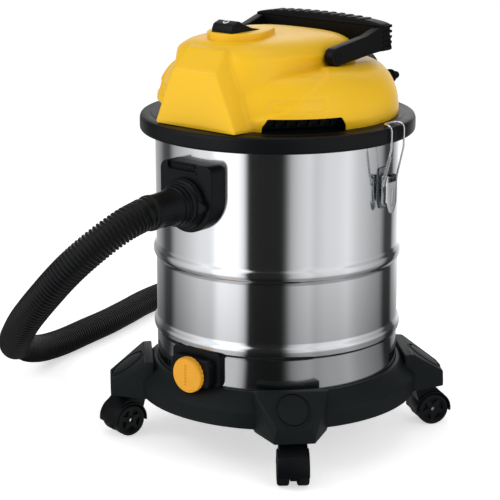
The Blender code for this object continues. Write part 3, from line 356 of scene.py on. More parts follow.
# ---------------------------------------------------------------- finishes

def add(tree, kind, sockets=None, links=None, **settings):
    """A node with its settings, its socket values and its incoming links."""
    made = tree.nodes.new(kind)
    for key, value in settings.items():
        setattr(made, key, value)
    for key, value in (sockets or {}).items():
        made.inputs[key].default_value = value
    for key, source in (links or {}).items():
        tree.links.new(source, made.inputs[key])
    return made


def blank(name, **shader_values):
    """A new material, its node tree and its shader with constant values set on it."""
    made = bpy.data.materials.new(name)
    made.use_nodes = True
    shader = made.node_tree.nodes["Principled BSDF"]
    for key, value in shader_values.items():
        shader.inputs[key.replace("_", " ")].default_value = value
    return made, made.node_tree, shader


def noise(tree, scale, detail=2.0, roughness=0.5, stretch=None):
    """Noise on the object's own coordinates, stretched by a scale for each axis if that is given."""
    place = add(tree, "ShaderNodeTexCoord").outputs["Object"]
    if stretch:
        place = add(tree, "ShaderNodeMapping", {"Scale": stretch}, {"Vector": place}).outputs["Vector"]
    made = add(tree, "ShaderNodeTexNoise",
               {"Scale": scale, "Detail": detail, "Roughness": roughness}, {"Vector": place})
    return made.outputs["Fac"]


def tinted(tree, shader, share, low, high):
    """The base colour, from low to high with the share."""
    tint = add(tree, "ShaderNodeMix", links={"Factor": share}, data_type="RGBA")
    tint.inputs["A"].default_value = low
    tint.inputs["B"].default_value = high
    tree.links.new(tint.outputs["Result"], shader.inputs["Base Color"])


def worn_and_grained(tree, shader, wear, low, high, grain, strength, depth):
    """The roughness, from low to high with the wear, and the relief of the grain."""
    gloss = add(tree, "ShaderNodeMapRange",
                {"From Min": 0.3, "From Max": 0.7, "To Min": low, "To Max": high}, {"Value": wear})
    bump = add(tree, "ShaderNodeBump", {"Strength": strength, "Distance": depth}, {"Height": grain})
    tree.links.new(gloss.outputs["Result"], shader.inputs["Roughness"])
    tree.links.new(bump.outputs["Normal"], shader.inputs["Normal"])


def moulded(name, colour, roughness, ior=1.5, grain=0.8 * MM, depth=0.02 * MM, spread=0.05,
            worn=0.06, sheen=0.13):
    """A moulded plastic: spark-eroded grain, faint flow shading, and a gloss that varies a little."""
    made, tree, shader = blank(name, IOR=ior, Specular_IOR_Level=sheen)
    flow = noise(tree, 9.0, 3.0)
    deep = [c * (1 - spread) for c in colour[:3]]
    pale = [min(c * (1 + spread), 1) for c in colour[:3]]
    tinted(tree, shader, flow, (*deep, 1), (*pale, 1))
    worn_and_grained(tree, shader, flow, roughness - worn, roughness + worn,
                     noise(tree, 1 / grain, 2.0, 0.6), 0.6, depth)
    return made


def rolled_steel(name, colour, roughness, across=2.0 * MM, anisotropy=0.0, depth=0.004 * MM):
    """Sheet steel with a fine grain that runs round the drum, or along a small part."""
    made, tree, shader = blank(name, Metallic=1.0, Anisotropic=anisotropy, Anisotropic_Rotation=0.25)
    grain = noise(tree, 1.0, 4.0, 0.6, (6.0, 6.0, 1 / across))
    tinted(tree, shader, noise(tree, 14.0), (*[c * 0.97 for c in colour[:3]], 1), colour)
    worn_and_grained(tree, shader, grain, roughness * 0.85, roughness * 1.15, grain, 0.3, depth)
    if anisotropy:
        round_drum = add(tree, "ShaderNodeTangent", direction_type="RADIAL", axis="Z")
        tree.links.new(round_drum.outputs["Tangent"], shader.inputs["Tangent"])
    return made


def pleated_paper(name, colour):
    """Filter paper: matt, with a faint fibre."""
    made, tree, shader = blank(name, Roughness=0.9)
    tinted(tree, shader, noise(tree, 900.0, 4.0), (*[c * 0.85 for c in colour[:3]], 1), colour)
    return made


# Each material slot: the finish's name, what makes it, its colour (a hex value, or one of the
# colours in the sidebar) and its other values
FINISHES = {
    # ABS, moulded in a polished tool: even colour, soft gloss
    "cover_plastic": ("Yellow ABS", moulded, "cover",
                      dict(roughness=0.36, ior=1.53, grain=0.6 * MM, depth=0.006 * MM, spread=0.03,
                           sheen=0.28)),
    # ABS from another batch, more orange, slightly duller
    "cap_plastic": ("Orange-yellow ABS", moulded, "cap",
                    dict(roughness=0.42, ior=1.53, grain=0.6 * MM, depth=0.01 * MM, spread=0.04)),
    "black_plastic": ("Satin black ABS", moulded, "black", dict(roughness=0.40, ior=1.52, spread=0.08)),
    "caster_plastic": ("Black caster nylon", moulded, "black",
                       dict(roughness=0.40, ior=1.52, spread=0.08)),
    # nylon, matt where it runs on the floor
    "wheel_nylon": ("Matt black wheel nylon", moulded, "141618",
                    dict(roughness=0.50, ior=1.53, grain=0.9 * MM, spread=0.10)),
    # polypropylene with a fine eroded grain, slightly grey
    "base_plastic": ("Grained black polypropylene", moulded, "base",
                     dict(roughness=0.50, ior=1.49, grain=0.9 * MM, depth=0.03 * MM, spread=0.10)),
    # blow-moulded polyethylene, with a waxy gloss
    "hose_plastic": ("Blow-moulded black polyethylene", moulded, "hose",
                     dict(roughness=0.33, ior=1.51, grain=1.2 * MM, spread=0.10)),
    "handle_plastic": ("Satin black polypropylene", moulded, "08090B",
                       dict(roughness=0.42, ior=1.49, grain=0.9 * MM, depth=0.03 * MM, spread=0.10)),
    "rubber": ("Black rubber", moulded, "121315",
               dict(roughness=0.75, ior=1.52, grain=1.0 * MM, depth=0.03 * MM, worn=0.05)),
    "white_nylon": ("White nylon", moulded, "E6E6E2", dict(roughness=0.45)),
    "filter_paper": ("Pleated filter paper", pleated_paper, "E9E4D4", {}),
    # thin stainless sheet, polished round the drum
    "drum_steel": ("Polished stainless sheet", rolled_steel, "drum",
                   dict(roughness=0.13, across=0.35 * MM, anisotropy=0.6)),
    # nickel plate on wire and pressings; the brackets are duller (rougher), and their darker colour is painted
    # shade from the levers
    "plated_steel": ("Bright nickel plate", rolled_steel, "DCDEE0", dict(roughness=0.16)),
    "latch_steel": ("Dull nickel plate", rolled_steel, "8C9092", dict(roughness=0.28)),
    "motor_steel": ("Pressed steel", rolled_steel, "B4B6B8", dict(roughness=0.35, across=1.0 * MM)),
}


def finish(slot):
    """The finish of a material slot, made when it is first asked for."""
    name, maker, colour, values = FINISHES[slot]
    chosen = getattr(bpy.context.scene.vacuum_colours, colour, None)
    return (bpy.data.materials.get(name)
            or maker(name, linear(colour) if chosen is None else chosen, **values))


# ---------------------------------------------------------------- sizes and colours

class VacuumSizes(bpy.types.PropertyGroup):
    """Sizes of the fine detail that a user may change."""
    hose_pitch: FloatProperty(name="Hose pitch", description="From one corrugation to the next",
                              default=5.0 * MM, min=3 * MM, unit="LENGTH", subtype="DISTANCE")
    hose_groove: FloatProperty(name="Hose groove", description="Depth between two corrugations",
                               default=2.3 * MM, min=0.0, unit="LENGTH", subtype="DISTANCE")
    soft_edge: FloatProperty(name="Edge radius", description="Rounding of moulded edges",
                             default=1.2 * MM, min=0.1 * MM, unit="LENGTH", subtype="DISTANCE")
    cover_voxel: FloatProperty(name="Cover detail", description="Grid on which the cover's form is blended",
                               default=1.7 * MM, min=1 * MM, unit="LENGTH", subtype="DISTANCE")
    drum_steps: IntProperty(name="Steps round the drum", description="Facets round the tank and collar",
                            default=192, min=48)


class VacuumColours(bpy.types.PropertyGroup):
    """Colours of the moulded pieces and the drum."""
    cover: FloatVectorProperty(name="Cover", description="Yellow of the head", size=4, subtype="COLOR",
                               default=linear("FCC619"))
    cap: FloatVectorProperty(name="Drain cap", description="Orange-yellow of the cap", size=4,
                             subtype="COLOR", default=linear("F3AC30"))
    drum: FloatVectorProperty(name="Drum", description="Stainless sheet", size=4, subtype="COLOR",
                              default=linear("E4E6E8"))
    base: FloatVectorProperty(name="Base", description="Black of the base", size=4, subtype="COLOR",
                              default=linear("14191B"))
    hose: FloatVectorProperty(name="Hose", description="Black of the hose", size=4, subtype="COLOR",
                              default=linear("0B0C0E"))
    black: FloatVectorProperty(name="Black pieces", description="Collar, inlet and drain", size=4,
                               subtype="COLOR", default=linear("0A0C0E"))


# ---------------------------------------------------------------- stage

CAMERA_PLACE = (1.371, -1.687, 0.825)
CAMERA_AZIMUTH = 40                           # from the front towards +X, in degrees
CAMERA_PITCH = 74.82                          # up from straight down, in degrees
LENS = 128.2
ROOM_LIGHT = 0.44                             # strength of the white room as a light
ROOM_SEEN = 1.1                               # and behind the object
FLOOR_GLOW = 0.58
LIGHTS = (("Key", (-1.1, -1.9, 1.9), 1.4, 20), ("Fill", (2.2, -0.6, 1.3), 1.2, 8),
          ("Top", (0.1, 0.2, 2.4), 1.6, 6))   # name, place, width, watts
LIT_MIDDLE = (0, 0, 0.25)                     # where the lights aim
PANEL_RADIUS = 0.620
PANEL_HEIGHT = 1.0

# Brightness of the panels round the drum: degrees from the camera, positive to its right
STUDIO = [(-180, 0.90), (-147, 0.30), (-131, 0.20), (-119, 0.05), (-109, 0.04), (-100, 0.26), (-84, 0.41),
          (-70, 0.56), (-57, 0.60), (-51, 0.88), (-45, 0.90), (-33, 0.82), (-28, 0.57), (-24, 0.01),
          (3, 0.01), (6, 0.06), (11, 0.30), (17, 0.42), (25, 0.50), (31, 0.42), (40, 0.50), (50, 0.52),
          (60, 0.58), (71, 0.42), (85, 0.32), (100, 0.22), (108, 0.03), (122, 0.03), (126, 0.25),
          (149, 0.75), (180, 0.90)]


class VACUUM_OT_stage(bpy.types.Operator):
    """Camera, floor, soft studio lights and the panels that the drum reflects"""
    bl_idname = "vacuum.stage"
    bl_label = "Stage"

    def execute(self, context):
        scene = context.scene
        camera = bpy.data.objects.new("Camera", bpy.data.cameras.new("Camera"))
        scene.collection.objects.link(camera)
        camera.location = CAMERA_PLACE
        camera.rotation_euler = (radians(CAMERA_PITCH), 0, radians(CAMERA_AZIMUTH))
        camera.data.sensor_width = 36
        camera.data.lens = LENS
        scene.camera = camera
        scene.view_settings.view_transform = "Standard"

        world = bpy.data.worlds.new("Studio")
        world.use_nodes = True
        room = world.node_tree.nodes["Background"]
        room.inputs["Color"].default_value = linear("FFFFFF")
        rays = add(world.node_tree, "ShaderNodeLightPath")
        strength = add(world.node_tree, "ShaderNodeMapRange", {"To Min": ROOM_LIGHT, "To Max": ROOM_SEEN},
                       {"Value": rays.outputs["Is Camera Ray"]})
        world.node_tree.links.new(strength.outputs["Result"], room.inputs["Strength"])
        scene.world = world

        floor = spun("studio_floor", [(0, -0.0002), (6.0, -0.0002), (6.0, -0.1), (0, -0.1)],
                     self.floor_paint(), steps=64)
        self.panels()
        for name, place, size, power in LIGHTS:
            light = bpy.data.objects.new(name, bpy.data.lights.new(name, "AREA"))
            scene.collection.objects.link(light)
            light.data.shape = "DISK"
            light.data.size = size
            light.data.energy = power
            light.location = place
            aim = Vector(LIT_MIDDLE) - Vector(place)
            light.rotation_euler = aim.to_track_quat("-Z", "Y").to_euler()
        return {"FINISHED"}

    def floor_paint(self):
        """Matt white studio paint."""
        made, tree, shader = blank("Matt white floor", Roughness=0.9, Emission_Strength=FLOOR_GLOW,
                                   Emission_Color=linear("FFFFFF"))
        tinted(tree, shader, noise(tree, 0.6, 1.0), linear("F6F6F6"), linear("FCFCFC"))
        return made

    def panels(self):
        """A ring of bright and dark panels that only reflections see."""
        made = bpy.data.materials.new("Studio panels")
        made.use_nodes = True
        tree = made.node_tree
        tree.nodes.clear()
        place = add(tree, "ShaderNodeTexCoord")
        turned = add(tree, "ShaderNodeMapping", {"Rotation": (0, 0, radians(90 - CAMERA_AZIMUTH))},
                     {"Vector": place.outputs["Object"]})
        split = add(tree, "ShaderNodeSeparateXYZ", links={"Vector": turned.outputs["Vector"]})
        angle = add(tree, "ShaderNodeMath", links={0: split.outputs["Y"], 1: split.outputs["X"]},
                    operation="ARCTAN2")
        share = add(tree, "ShaderNodeMapRange", {"From Min": -pi, "From Max": pi},
                    {"Value": angle.outputs[0]})
        ramp = add(tree, "ShaderNodeValToRGB", links={"Fac": share.outputs["Result"]})
        stops = ramp.color_ramp.elements
        for degrees, bright in STUDIO[1:-1]:
            stops.new((degrees + 180) / 360).color = (bright, bright, bright * 1.01, 1)
        for stop, bright in ((stops[0], STUDIO[0][1]), (stops[-1], STUDIO[-1][1])):
            stop.color = (bright, bright, bright, 1)
        height = add(tree, "ShaderNodeSeparateXYZ", links={"Vector": place.outputs["Object"]})
        low_dim = add(tree, "ShaderNodeMapRange",
                      {"From Min": 0.0, "From Max": 0.12, "To Min": 0.70, "To Max": 1.65},
                      {"Value": height.outputs["Z"]})
        glow = add(tree, "ShaderNodeEmission",
                   links={"Color": ramp.outputs["Color"], "Strength": low_dim.outputs["Result"]})
        add(tree, "ShaderNodeOutputMaterial", links={"Surface": glow.outputs["Emission"]})
        near, back = 0.160, PANEL_RADIUS + 0.001
        ring = spun("studio_panels",
                    [(near, 0.0004), (PANEL_RADIUS, 0.0004), (PANEL_RADIUS, PANEL_HEIGHT),
                     (back, PANEL_HEIGHT), (back, 0.0002), (near, 0.0002)], made, steps=128)
        ring.visible_camera = ring.visible_diffuse = ring.visible_shadow = False
        ring.visible_transmission = ring.visible_volume_scatter = False


# ---------------------------------------------------------------- hose

class VACUUM_OT_hose(bpy.types.Operator):
    """The corrugated hose with its two cuffs"""
    bl_idname = "vacuum.hose"
    bl_label = "Hose"

    def execute(self, context):
        sizes = context.scene.vacuum_sizes
        plastic, black = finish("hose_plastic"), finish("black_plastic")
        last = Vector(HOSE_ROUTE[-1])
        route = [Vector(HOSE_START)] + smooth_route(HOSE_ROUTE, 4 * MM) + [last + Vector((0, -0.004, 0))]
        fine = smooth_route(route, sizes.hose_pitch / 6)

        def reach(length, angle):
            turn = length / sizes.hose_pitch - angle / (2 * pi)
            off_crest = 2 * abs(turn - round(turn))
            return HOSE_RADIUS - sizes.hose_groove * smooth_step(0.42, 1.0, off_crest)

        hose = ready(sweep("corrugated_hose", fine, reach, plastic, sides=28, angle=70), "root",
                     "hose_plastic", "hose")
        cuff = self.inlet_cuff(black)
        end = self.end_cuff(last, black)
        for piece in (hose, cuff, end):
            piece.visible_glossy = False         # keeps the drum's reflections clean
        return {"FINISHED"}

    def inlet_cuff(self, plastic):
        """Stepped where it meets the lock ring, plain to the hose, with grip ribs low on each side."""
        outline = [(0.0175, 0.2370), (0.0205, 0.2370), (0.0212, 0.2362), (0.0212, 0.2310), (0.0202, 0.2300),
                   (0.0208, 0.2080), (0.0222, 0.1960), (0.0236, 0.1950), (0.0240, 0.1940), (0.0240, 0.1905),
                   (0.0252, 0.1895), (0.0256, 0.1885), (0.0256, 0.1852), (0.0205, 0.1852), (0.0205, 0.1420),
                   (0.0175, 0.1420)]
        place = at(z=INLET_Z) @ FORWARD
        cuff = spun("hose_cuff_stepped", eased(outline, 0.5 * MM, closed=True, count=2), plastic, 96, place)
        for side in (1, -1):
            for i in range(6):
                turn = Matrix.Rotation(radians(90 - side * (98 + 9 * i)), 4, "Z")
                rib = crate(f"cuff_rib_{i}_{side}", (0.0195, -0.00045, 0.1990), (0.0218, 0.00045, 0.2240),
                            plastic, place @ turn, edge=0.3 * MM)
                join(cuff, rib)
        return ready(sharpen(cuff), "root", "black_plastic", "hose_cuff")

    def end_cuff(self, last, plastic):
        """The fitting at the hose's free end, with three grip rings."""
        long = END_CUFF_LENGTH
        outline = [(0.0175, long), (0.0185, long), (0.0190, long - 0.001), (0.0192, 0.040)]
        for z in (0.036, 0.028, 0.020):
            outline += [(0.0192, z + 0.002), (0.0198, z + 0.0012),
                        (0.0198, z - 0.0012), (0.0192, z - 0.002)]
        outline += [(0.0192, 0.012), (0.0200, 0.011), (0.0200, 0.001), (0.0193, 0), (0.0175, 0)]
        place = Matrix.Translation(last + Vector((0, -0.0043, 0))) @ FORWARD
        cuff = spun("hose_end_cuff_ringed", outline, plastic, 72, place)
        return ready(cuff, "root", "black_plastic", "hose_end_cuff")


# ---------------------------------------------------------------- tank

def drum_side(offset):
    """The drum's side from top to bottom with its beads, moved out by an offset."""
    steps = [(0, 0.0088), (0.0036, 0.0038), (0.0036, -0.0038), (0, -0.0088)]
    return [(TANK_RADIUS + rise + offset, height + dz) for height in BEAD_HEIGHTS for rise, dz in steps]


def tank_form(name):
    """The outside of the drum with a gap, to shape what sits against it."""
    radius = TANK_RADIUS + GAP
    return spun(name, [(0, TANK_RIM_Z - 0.004), (radius, TANK_RIM_Z - 0.004)] + drum_side(GAP)
                + [(radius, TANK_FLOOR_Z), (0, TANK_FLOOR_Z)], None, steps=96)


def rod(name, radius, low, high, material, matrix=None, steps=48):
    """A plain round bar along Z, used to cut holes and as a core."""
    return spun(name, [(0, low), (radius, low), (radius, high), (0, high)], material, steps, matrix)


class VACUUM_OT_tank(bpy.types.Operator):
    """The drum: thin sheet with two rolled beads and a rolled rim"""
    bl_idname = "vacuum.tank"
    bl_label = "Tank"

    def execute(self, context):
        steel = finish("drum_steel")
        outside = eased([(TANK_RADIUS, TANK_RIM_Z - 0.004)] + drum_side(0)
                        + [(TANK_RADIUS, TANK_FLOOR_Z), (TANK_RADIUS - 0.006, TANK_FLOOR_Z),
                           (0, TANK_FLOOR_Z)], 3.2 * MM, count=6)
        inside = eased([(0, TANK_FLOOR_Z + 0.001), (TANK_RADIUS - 0.007, TANK_FLOOR_Z + 0.001),
                        (TANK_RADIUS - 0.001, TANK_FLOOR_Z + 0.001)] + drum_side(-0.001)[::-1]
                       + [(TANK_RADIUS - 0.001, TANK_RIM_Z)], 3.2 * MM, count=6)
        rim = arc((TANK_RADIUS + 0.0045, TANK_RIM_Z - 0.0014), 0.0013, 90, -90, 8)
        drum = spun("steel_drum", inside + rim + outside, steel, context.scene.vacuum_sizes.drum_steps)
        cut(drum, rod("inlet_hole", 0.0240, 0.13, 0.17, steel, at(z=INLET_Z) @ FORWARD),
            rod("drain_hole", 0.0118, 0.13, 0.17, steel, at(z=DRAIN_Z) @ FORWARD))
        ready(sharpen(drum, 40), "root", "drum_steel", "tank")
        return {"FINISHED"}


# ---------------------------------------------------------------- base

class VACUUM_OT_base(bpy.types.Operator):
    """The moulded base: a dished tray with a skirt and four sloping legs"""
    bl_idname = "vacuum.base"
    bl_label = "Base"

    def execute(self, context):
        plastic = finish("base_plastic")
        seat, top = TANK_RADIUS + GAP, TANK_FLOOR_Z - GAP
        outline = eased([(seat, top), (seat, 0.100), (seat + 0.0047, 0.100), (0.1655, 0.0925),
                         (0.178, 0.081), (0.178, 0.060), (0.1745, 0.060), (0.1745, top - 0.0052)],
                        1.4 * MM, count=3)
        base = spun("base_moulding", [(0, top)] + outline + [(0, top - 0.0052)], plastic, 160)
        for place, degrees in LEG_ANGLES.items():
            heading = compass(degrees)
            join(base, self.leg(place, heading, plastic))
            slope = self.slope(heading)
            oval, inner = [[(long * x, wide * y) for x, y in arc((0, 0), 1, 0, 352.5, 47)]
                           for long, wide in ((0.0262, 0.0224), (0.0212, 0.0178))]
            join(base, prism(f"cap_rim_{place}", oval, -0.004, 0.0009, plastic, slope, edge=0.5 * MM))
            cut(base, prism(f"cap_well_{place}", [(x * 0.93, y * 0.93) for x, y in oval], -0.0008, 0.006,
                            plastic, slope))
            join(base, prism(f"cap_disc_{place}", inner, -0.004, 0.0008, plastic, slope, edge=0.6 * MM))
            cut(base, rod(f"stem_socket_{place}", 0.0054, 0.045, 0.0755, plastic,
                          heading @ at(SWIVEL_RADIUS), steps=24))
        ready(sharpen(base), "root", "base_plastic", "base_tray")
        return {"FINISHED"}

    def slope(self, heading):
        """The middle of a leg's sloped face, +Z square to it."""
        tilt = atan2(0.105 - 0.075, 0.2135 - 0.170)
        return heading @ at(0.19175, 0, 0.090) @ Matrix.Rotation(tilt, 4, "Y")

    def leg(self, place, heading, plastic):
        """A leg that narrows and slopes down outwards, from sections at three radii."""
        sections = ((0.1590, 0.0460, 0.0470, 0.105, 0.0602), (0.1700, 0.0440, 0.0440, 0.105, 0.0556),
                    (0.2135, 0.0215, 0.0245, 0.075, 0.0556))
        points = []
        for x, half_top, half_foot, top, foot in sections:
            for side in (1, -1):
                points += [(x, side * half_foot, foot), (x, side * half_foot, foot + 0.006),
                           (x, side * half_top, top)]
        return hull(f"leg_{place}", points, plastic, heading, edge=1.6 * MM, segments=3)


# ---------------------------------------------------------------- casters

class VACUUM_OT_casters(bpy.types.Operator):
    """Four twin-wheel casters, each hood over two spoked wheels"""
    bl_idname = "vacuum.casters"
    bl_label = "Casters"

    def execute(self, context):
        hood_plastic, nylon = finish("caster_plastic"), finish("wheel_nylon")
        wheel = self.wheel(nylon)
        for place, degrees in LEG_ANGLES.items():
            axis = (compass(degrees) @ at(SWIVEL_RADIUS)).to_translation()
            swivel = at(axis.x, axis.y) @ compass(CASTER_HEADINGS[place])
            upright = swivel @ at(CASTER_TRAIL, 0, WHEEL_RADIUS) @ Matrix.Rotation(pi / 2, 4, "X")
            self.hood(place, swivel, upright, hood_plastic)
            for side, name in ((1, "a"), (-1, "b")):
                turn = Matrix.Rotation(0 if side > 0 else pi, 4, "X")
                mesh = wheel.data.copy()
                mesh.transform(upright @ turn @ at(z=WEB_HALF + WHEEL_WIDTH / 2))
                piece = bpy.data.objects.new(f"wheel_{place}_{name}", mesh)
                context.scene.collection.objects.link(piece)
                ready(piece, f"caster_{place}_wheels", "wheel_nylon", f"caster_{place}_wheel_{name}")
        bpy.data.objects.remove(wheel)
        return {"FINISHED"}

    def wheel(self, nylon):
        """One wheel about Z: crowned tread, dished outer face with five pockets round a hub."""
        half, radius = WHEEL_WIDTH / 2, WHEEL_RADIUS
        outline = eased([(0.0027, half - 0.0010), (0.0052, half - 0.0010), (0.0056, half - 0.0022),
                         (0.0152, half - 0.0022), (0.0160, half), (radius - 0.0016, half),
                         (radius, half - 0.0022), (radius, -half + 0.0020),
                         (radius - 0.0020, -half + GAP), (0.0027, -half + GAP)],
                        0.7 * MM, closed=True, count=2)
        wheel = spun("wheel", outline, nylon, 72)
        for i in range(5):
            middle = 72 * i + 18
            corners = [(0.0138, a) for a in (-27, -13, 0, 13, 27)] + [(0.0066, 0)]
            pocket = eased([(r * cos(radians(middle + a)), r * sin(radians(middle + a)))
                            for r, a in corners], 0.8 * MM, closed=True, count=2)
            cut(wheel, prism(f"pocket_{i}", pocket, half - 0.0055, half + 0.002, nylon))
        return sharpen(wheel)

    def hood(self, place, swivel, upright, plastic):
        """A shell over the wheels, a web between them and a saddle under the stem."""
        inner, outer = WHEEL_RADIUS + 0.0012, WHEEL_RADIUS + 0.0034
        half = WEB_HALF + WHEEL_WIDTH
        shell = arc((0, 0), outer, -8, 188, 32) + arc((0, 0), inner, 188, -8, 32)
        hood = prism(f"hood_{place}", shell, -half, half, plastic, upright, edge=0.7 * MM)
        middle = inner + 0.0011
        web = arc((0, 0), middle, -20, 200, 28) + [(-0.008, -0.011), (0.008, -0.011)]
        neck = CASTER_TOP_Z - WHEEL_RADIUS
        saddle = (arc((0, 0), middle, 45, 150, 14)
                  + eased([(-CASTER_TRAIL - 0.0105, neck - 0.008), (-CASTER_TRAIL - 0.0105, neck),
                           (-CASTER_TRAIL + 0.0105, neck), (0.006, neck - 0.005)], 2.0 * MM, count=4))
        join(hood, prism(f"web_{place}", web, -WEB_HALF, WEB_HALF, plastic, upright, edge=0.6 * MM),
             prism(f"saddle_{place}", saddle, -0.0172, 0.0172, plastic, upright, edge=1.4 * MM, segments=3))
        cut(hood, rod(f"axle_hole_{place}", 0.0028, -0.02, 0.02, plastic, upright, steps=24),
            rod(f"stem_hole_{place}", 0.0053, 0.0438, 0.08, plastic, swivel, steps=24))
        ready(sharpen(hood), f"caster_{place}", "caster_plastic", f"caster_{place}_hood")


# ---------------------------------------------------------------- inlet and drain

class VACUUM_OT_inlet(bpy.types.Operator):
    """The inlet plate on the drum and the lock ring that holds the hose"""
    bl_idname = "vacuum.inlet"
    bl_label = "Inlet"

    def execute(self, context):
        plastic = finish("black_plastic")
        place = at(z=INLET_Z) @ FORWARD
        half, high, corner = 0.0405, 0.048, 0.010
        shield = (arc((half - corner, high - corner), corner, 0, 90, 10)
                  + arc((-half + corner, high - corner), corner, 90, 180, 10)
                  + arc((0, 0.005), half, 180, 360, 48))
        housing = prism("inlet_plate", shield, TANK_RADIUS - 0.012, INLET_FACE, plastic, place,
                        edge=1.5 * MM, segments=4)
        cut(housing, tank_form("inlet_saddle"))
        slot = rounded(0.0225, 0.0395, 0.0600, 0.003)
        cut(housing, prism("plate_slot", [(x - 0.006, y) for x, y in slot], INLET_FACE - 0.0045,
                           INLET_FACE + 0.01, plastic, place, edge=0.5 * MM))
        lip = prism("plate_lip", [(x - 0.006, y) for x, y in rounded(0.0235, 0.0360, 0.0388, 0.0013)],
                    INLET_FACE - 0.003, INLET_FACE + 0.0013, plastic, place, edge=0.5 * MM)
        bar = prism("plate_bar", [(x - 0.006, y) for x, y in rounded(0.0180, 0.0425, 0.0450, 0.0012)],
                    INLET_FACE - 0.008, INLET_FACE - 0.0022, plastic, place, edge=0.4 * MM)
        join(housing, lip, bar, rod("inlet_spigot", 0.0237, TANK_RADIUS - 0.022, INLET_FACE - 0.004,
                                    plastic, place))
        cut(housing, rod("inlet_bore", 0.0209, 0.12, 0.20, plastic, place, steps=64))
        ready(sharpen(housing), "root", "black_plastic", "inlet_housing")

        face = INLET_FACE + GAP
        outline = eased([(0.0209, face + 0.0135), (0.0235, face + 0.0135), (0.0240, face + 0.0120),
                         (0.0262, face + 0.0118), (0.0268, face + 0.0095), (0.0296, face + 0.0078),
                         (0.0300, face + 0.0052), (0.0310, face + 0.0046), (0.0310, face), (0.0209, face)],
                        0.6 * MM, closed=True, count=2)
        ring = spun("lock_ring_stepped", outline, plastic, 96, place)
        for side in (1, -1):
            grip = eased([(0.0245, -0.0085), (0.0320, -0.0062), (0.0350, -0.0030), (0.0350, 0.0030),
                          (0.0320, 0.0062), (0.0245, 0.0085)], 1.2 * MM, closed=True)
            join(ring, prism(f"ring_pointer_{side}", [(side * x, side * y) for x, y in grip],
                             face + 0.0002, face + 0.0082, plastic, place, edge=0.7 * MM))
        ready(sharpen(ring), "lock_ring", "black_plastic", "inlet_lock_ring")
        return {"FINISHED"}


class VACUUM_OT_drain(bpy.types.Operator):
    """The drain housing low on the drum, with its screw cap"""
    bl_idname = "vacuum.drain"
    bl_label = "Drain"

    def execute(self, context):
        plastic = finish("black_plastic")
        place = at(z=DRAIN_Z) @ FORWARD
        low = 0.1003 - DRAIN_Z
        box = rounded(0.0300, low, 0.0200, 0.006, 8)
        flange = rounded(0.0380, low, 0.0280, 0.006, 8)
        housing = prism("drain_box", box, TANK_RADIUS - 0.010, DRAIN_FACE, plastic, place,
                        edge=1.2 * MM, segments=3)
        join(housing, prism("drain_flange", flange, TANK_RADIUS - 0.012, TANK_RADIUS + 0.0030,
                            plastic, place, edge=0.8 * MM))
        cut(housing, tank_form("drain_saddle"))
        cut(housing, prism("drain_dish", arc((0, 0), 0.0232, 0, 352.5, 47), DRAIN_FACE - 0.0012,
                           DRAIN_FACE + 0.004, plastic, place))
        join(housing, rod("drain_neck", 0.0145, DRAIN_FACE - 0.003, DRAIN_FACE + 0.0030, plastic, place),
             rod("drain_spigot", 0.0115, TANK_RADIUS - 0.014, DRAIN_FACE - 0.0015, plastic, place))
        cut(housing, rod("drain_bore", 0.0090, 0.12, 0.19, plastic, place))
        ready(sharpen(housing), "root", "black_plastic", "drain_housing")
        self.cap(place, finish("cap_plastic"))
        return {"FINISHED"}

    def cap(self, place, plastic):
        """A shallow cap: raised rim, dished face with a row of grip marks, and grips round its side."""
        back, front = DRAIN_FACE + GAP, DRAIN_FACE + GAP + 0.0080
        outline = eased([(0, front - 0.0006), (0.0182, front - 0.0006), (0.0190, front), (0.0206, front),
                         (0.0222, front - 0.0022), (0.0222, back)], 0.7 * MM, count=3)
        outline += [(0.0149, back), (0.0149, front - 0.0023), (0, front - 0.0023)]
        cap = spun("drain_cap_dished", outline, plastic, 96, place)
        notches = []
        for i in range(24):
            turn = Matrix.Rotation(2 * pi * i / 24, 4, "Z")
            notches.append(rod(f"cap_grip_{i}", 0.0013, back - 0.001, front - 0.0026, plastic,
                               place @ turn @ at(0.0228), steps=12))
        for i in range(7):
            notches.append(crate(f"cap_mark_{i}", (-0.0019, -0.0008, front - 0.0014),
                                 (0.0019, 0.0008, front + 0.001), plastic,
                                 place @ at(-0.0010, 0.0040 * (i - 3))))
        cut(cap, *notches)
        ready(sharpen(cap), "drain_cap", "cap_plastic", "drain_cap")


# ---------------------------------------------------------------- head

SHOULDER = [(COVER_Z, 0.150, -0.143, 0.150, 2.0), (0.437, 0.148, -0.142, 0.148, 2.0),
            (0.452, 0.142, -0.138, 0.142, 2.05), (0.465, 0.133, -0.132, 0.133, 2.1),
            (0.4745, 0.120, -0.124, 0.120, 2.2), (0.479, 0.102, -0.112, 0.104, 2.3)]
RIDGE = [(0.4560, RIDGE_HALF, -0.136, 0.090, 3.4), (0.4800, RIDGE_HALF, -0.136, 0.084, 3.4),
         (0.4980, 0.0815, -0.133, 0.076, 3.4), (0.5070, 0.0755, -0.128, 0.066, 3.2),
         (0.5125, 0.0635, -0.118, 0.050, 3.0), (0.5150, 0.0455, -0.100, 0.028, 2.6)]


def fine_levels(levels, share=6):
    """The same form with smooth levels between."""
    knots = [levels[0]] + list(levels) + [levels[-1]]
    fine = []
    for a, b, c, d in zip(knots, knots[1:], knots[2:], knots[3:]):
        for i in range(share):
            t = i / share
            fine.append([0.5 * (2 * q + (r - p) * t + (2 * p - 5 * q + 4 * r - s) * t * t
                                + (3 * q - p - 3 * r + s) * t ** 3) for p, q, r, s in zip(a, b, c, d)])
    return fine + [list(levels[-1])]


def shrunk(levels, wall):
    """The room inside a form, a wall thinner all round."""
    return [(z - (wall if i else 0.002), side - wall, front + wall, rear - wall, power)
            for i, (z, side, front, rear, power) in enumerate(levels)]


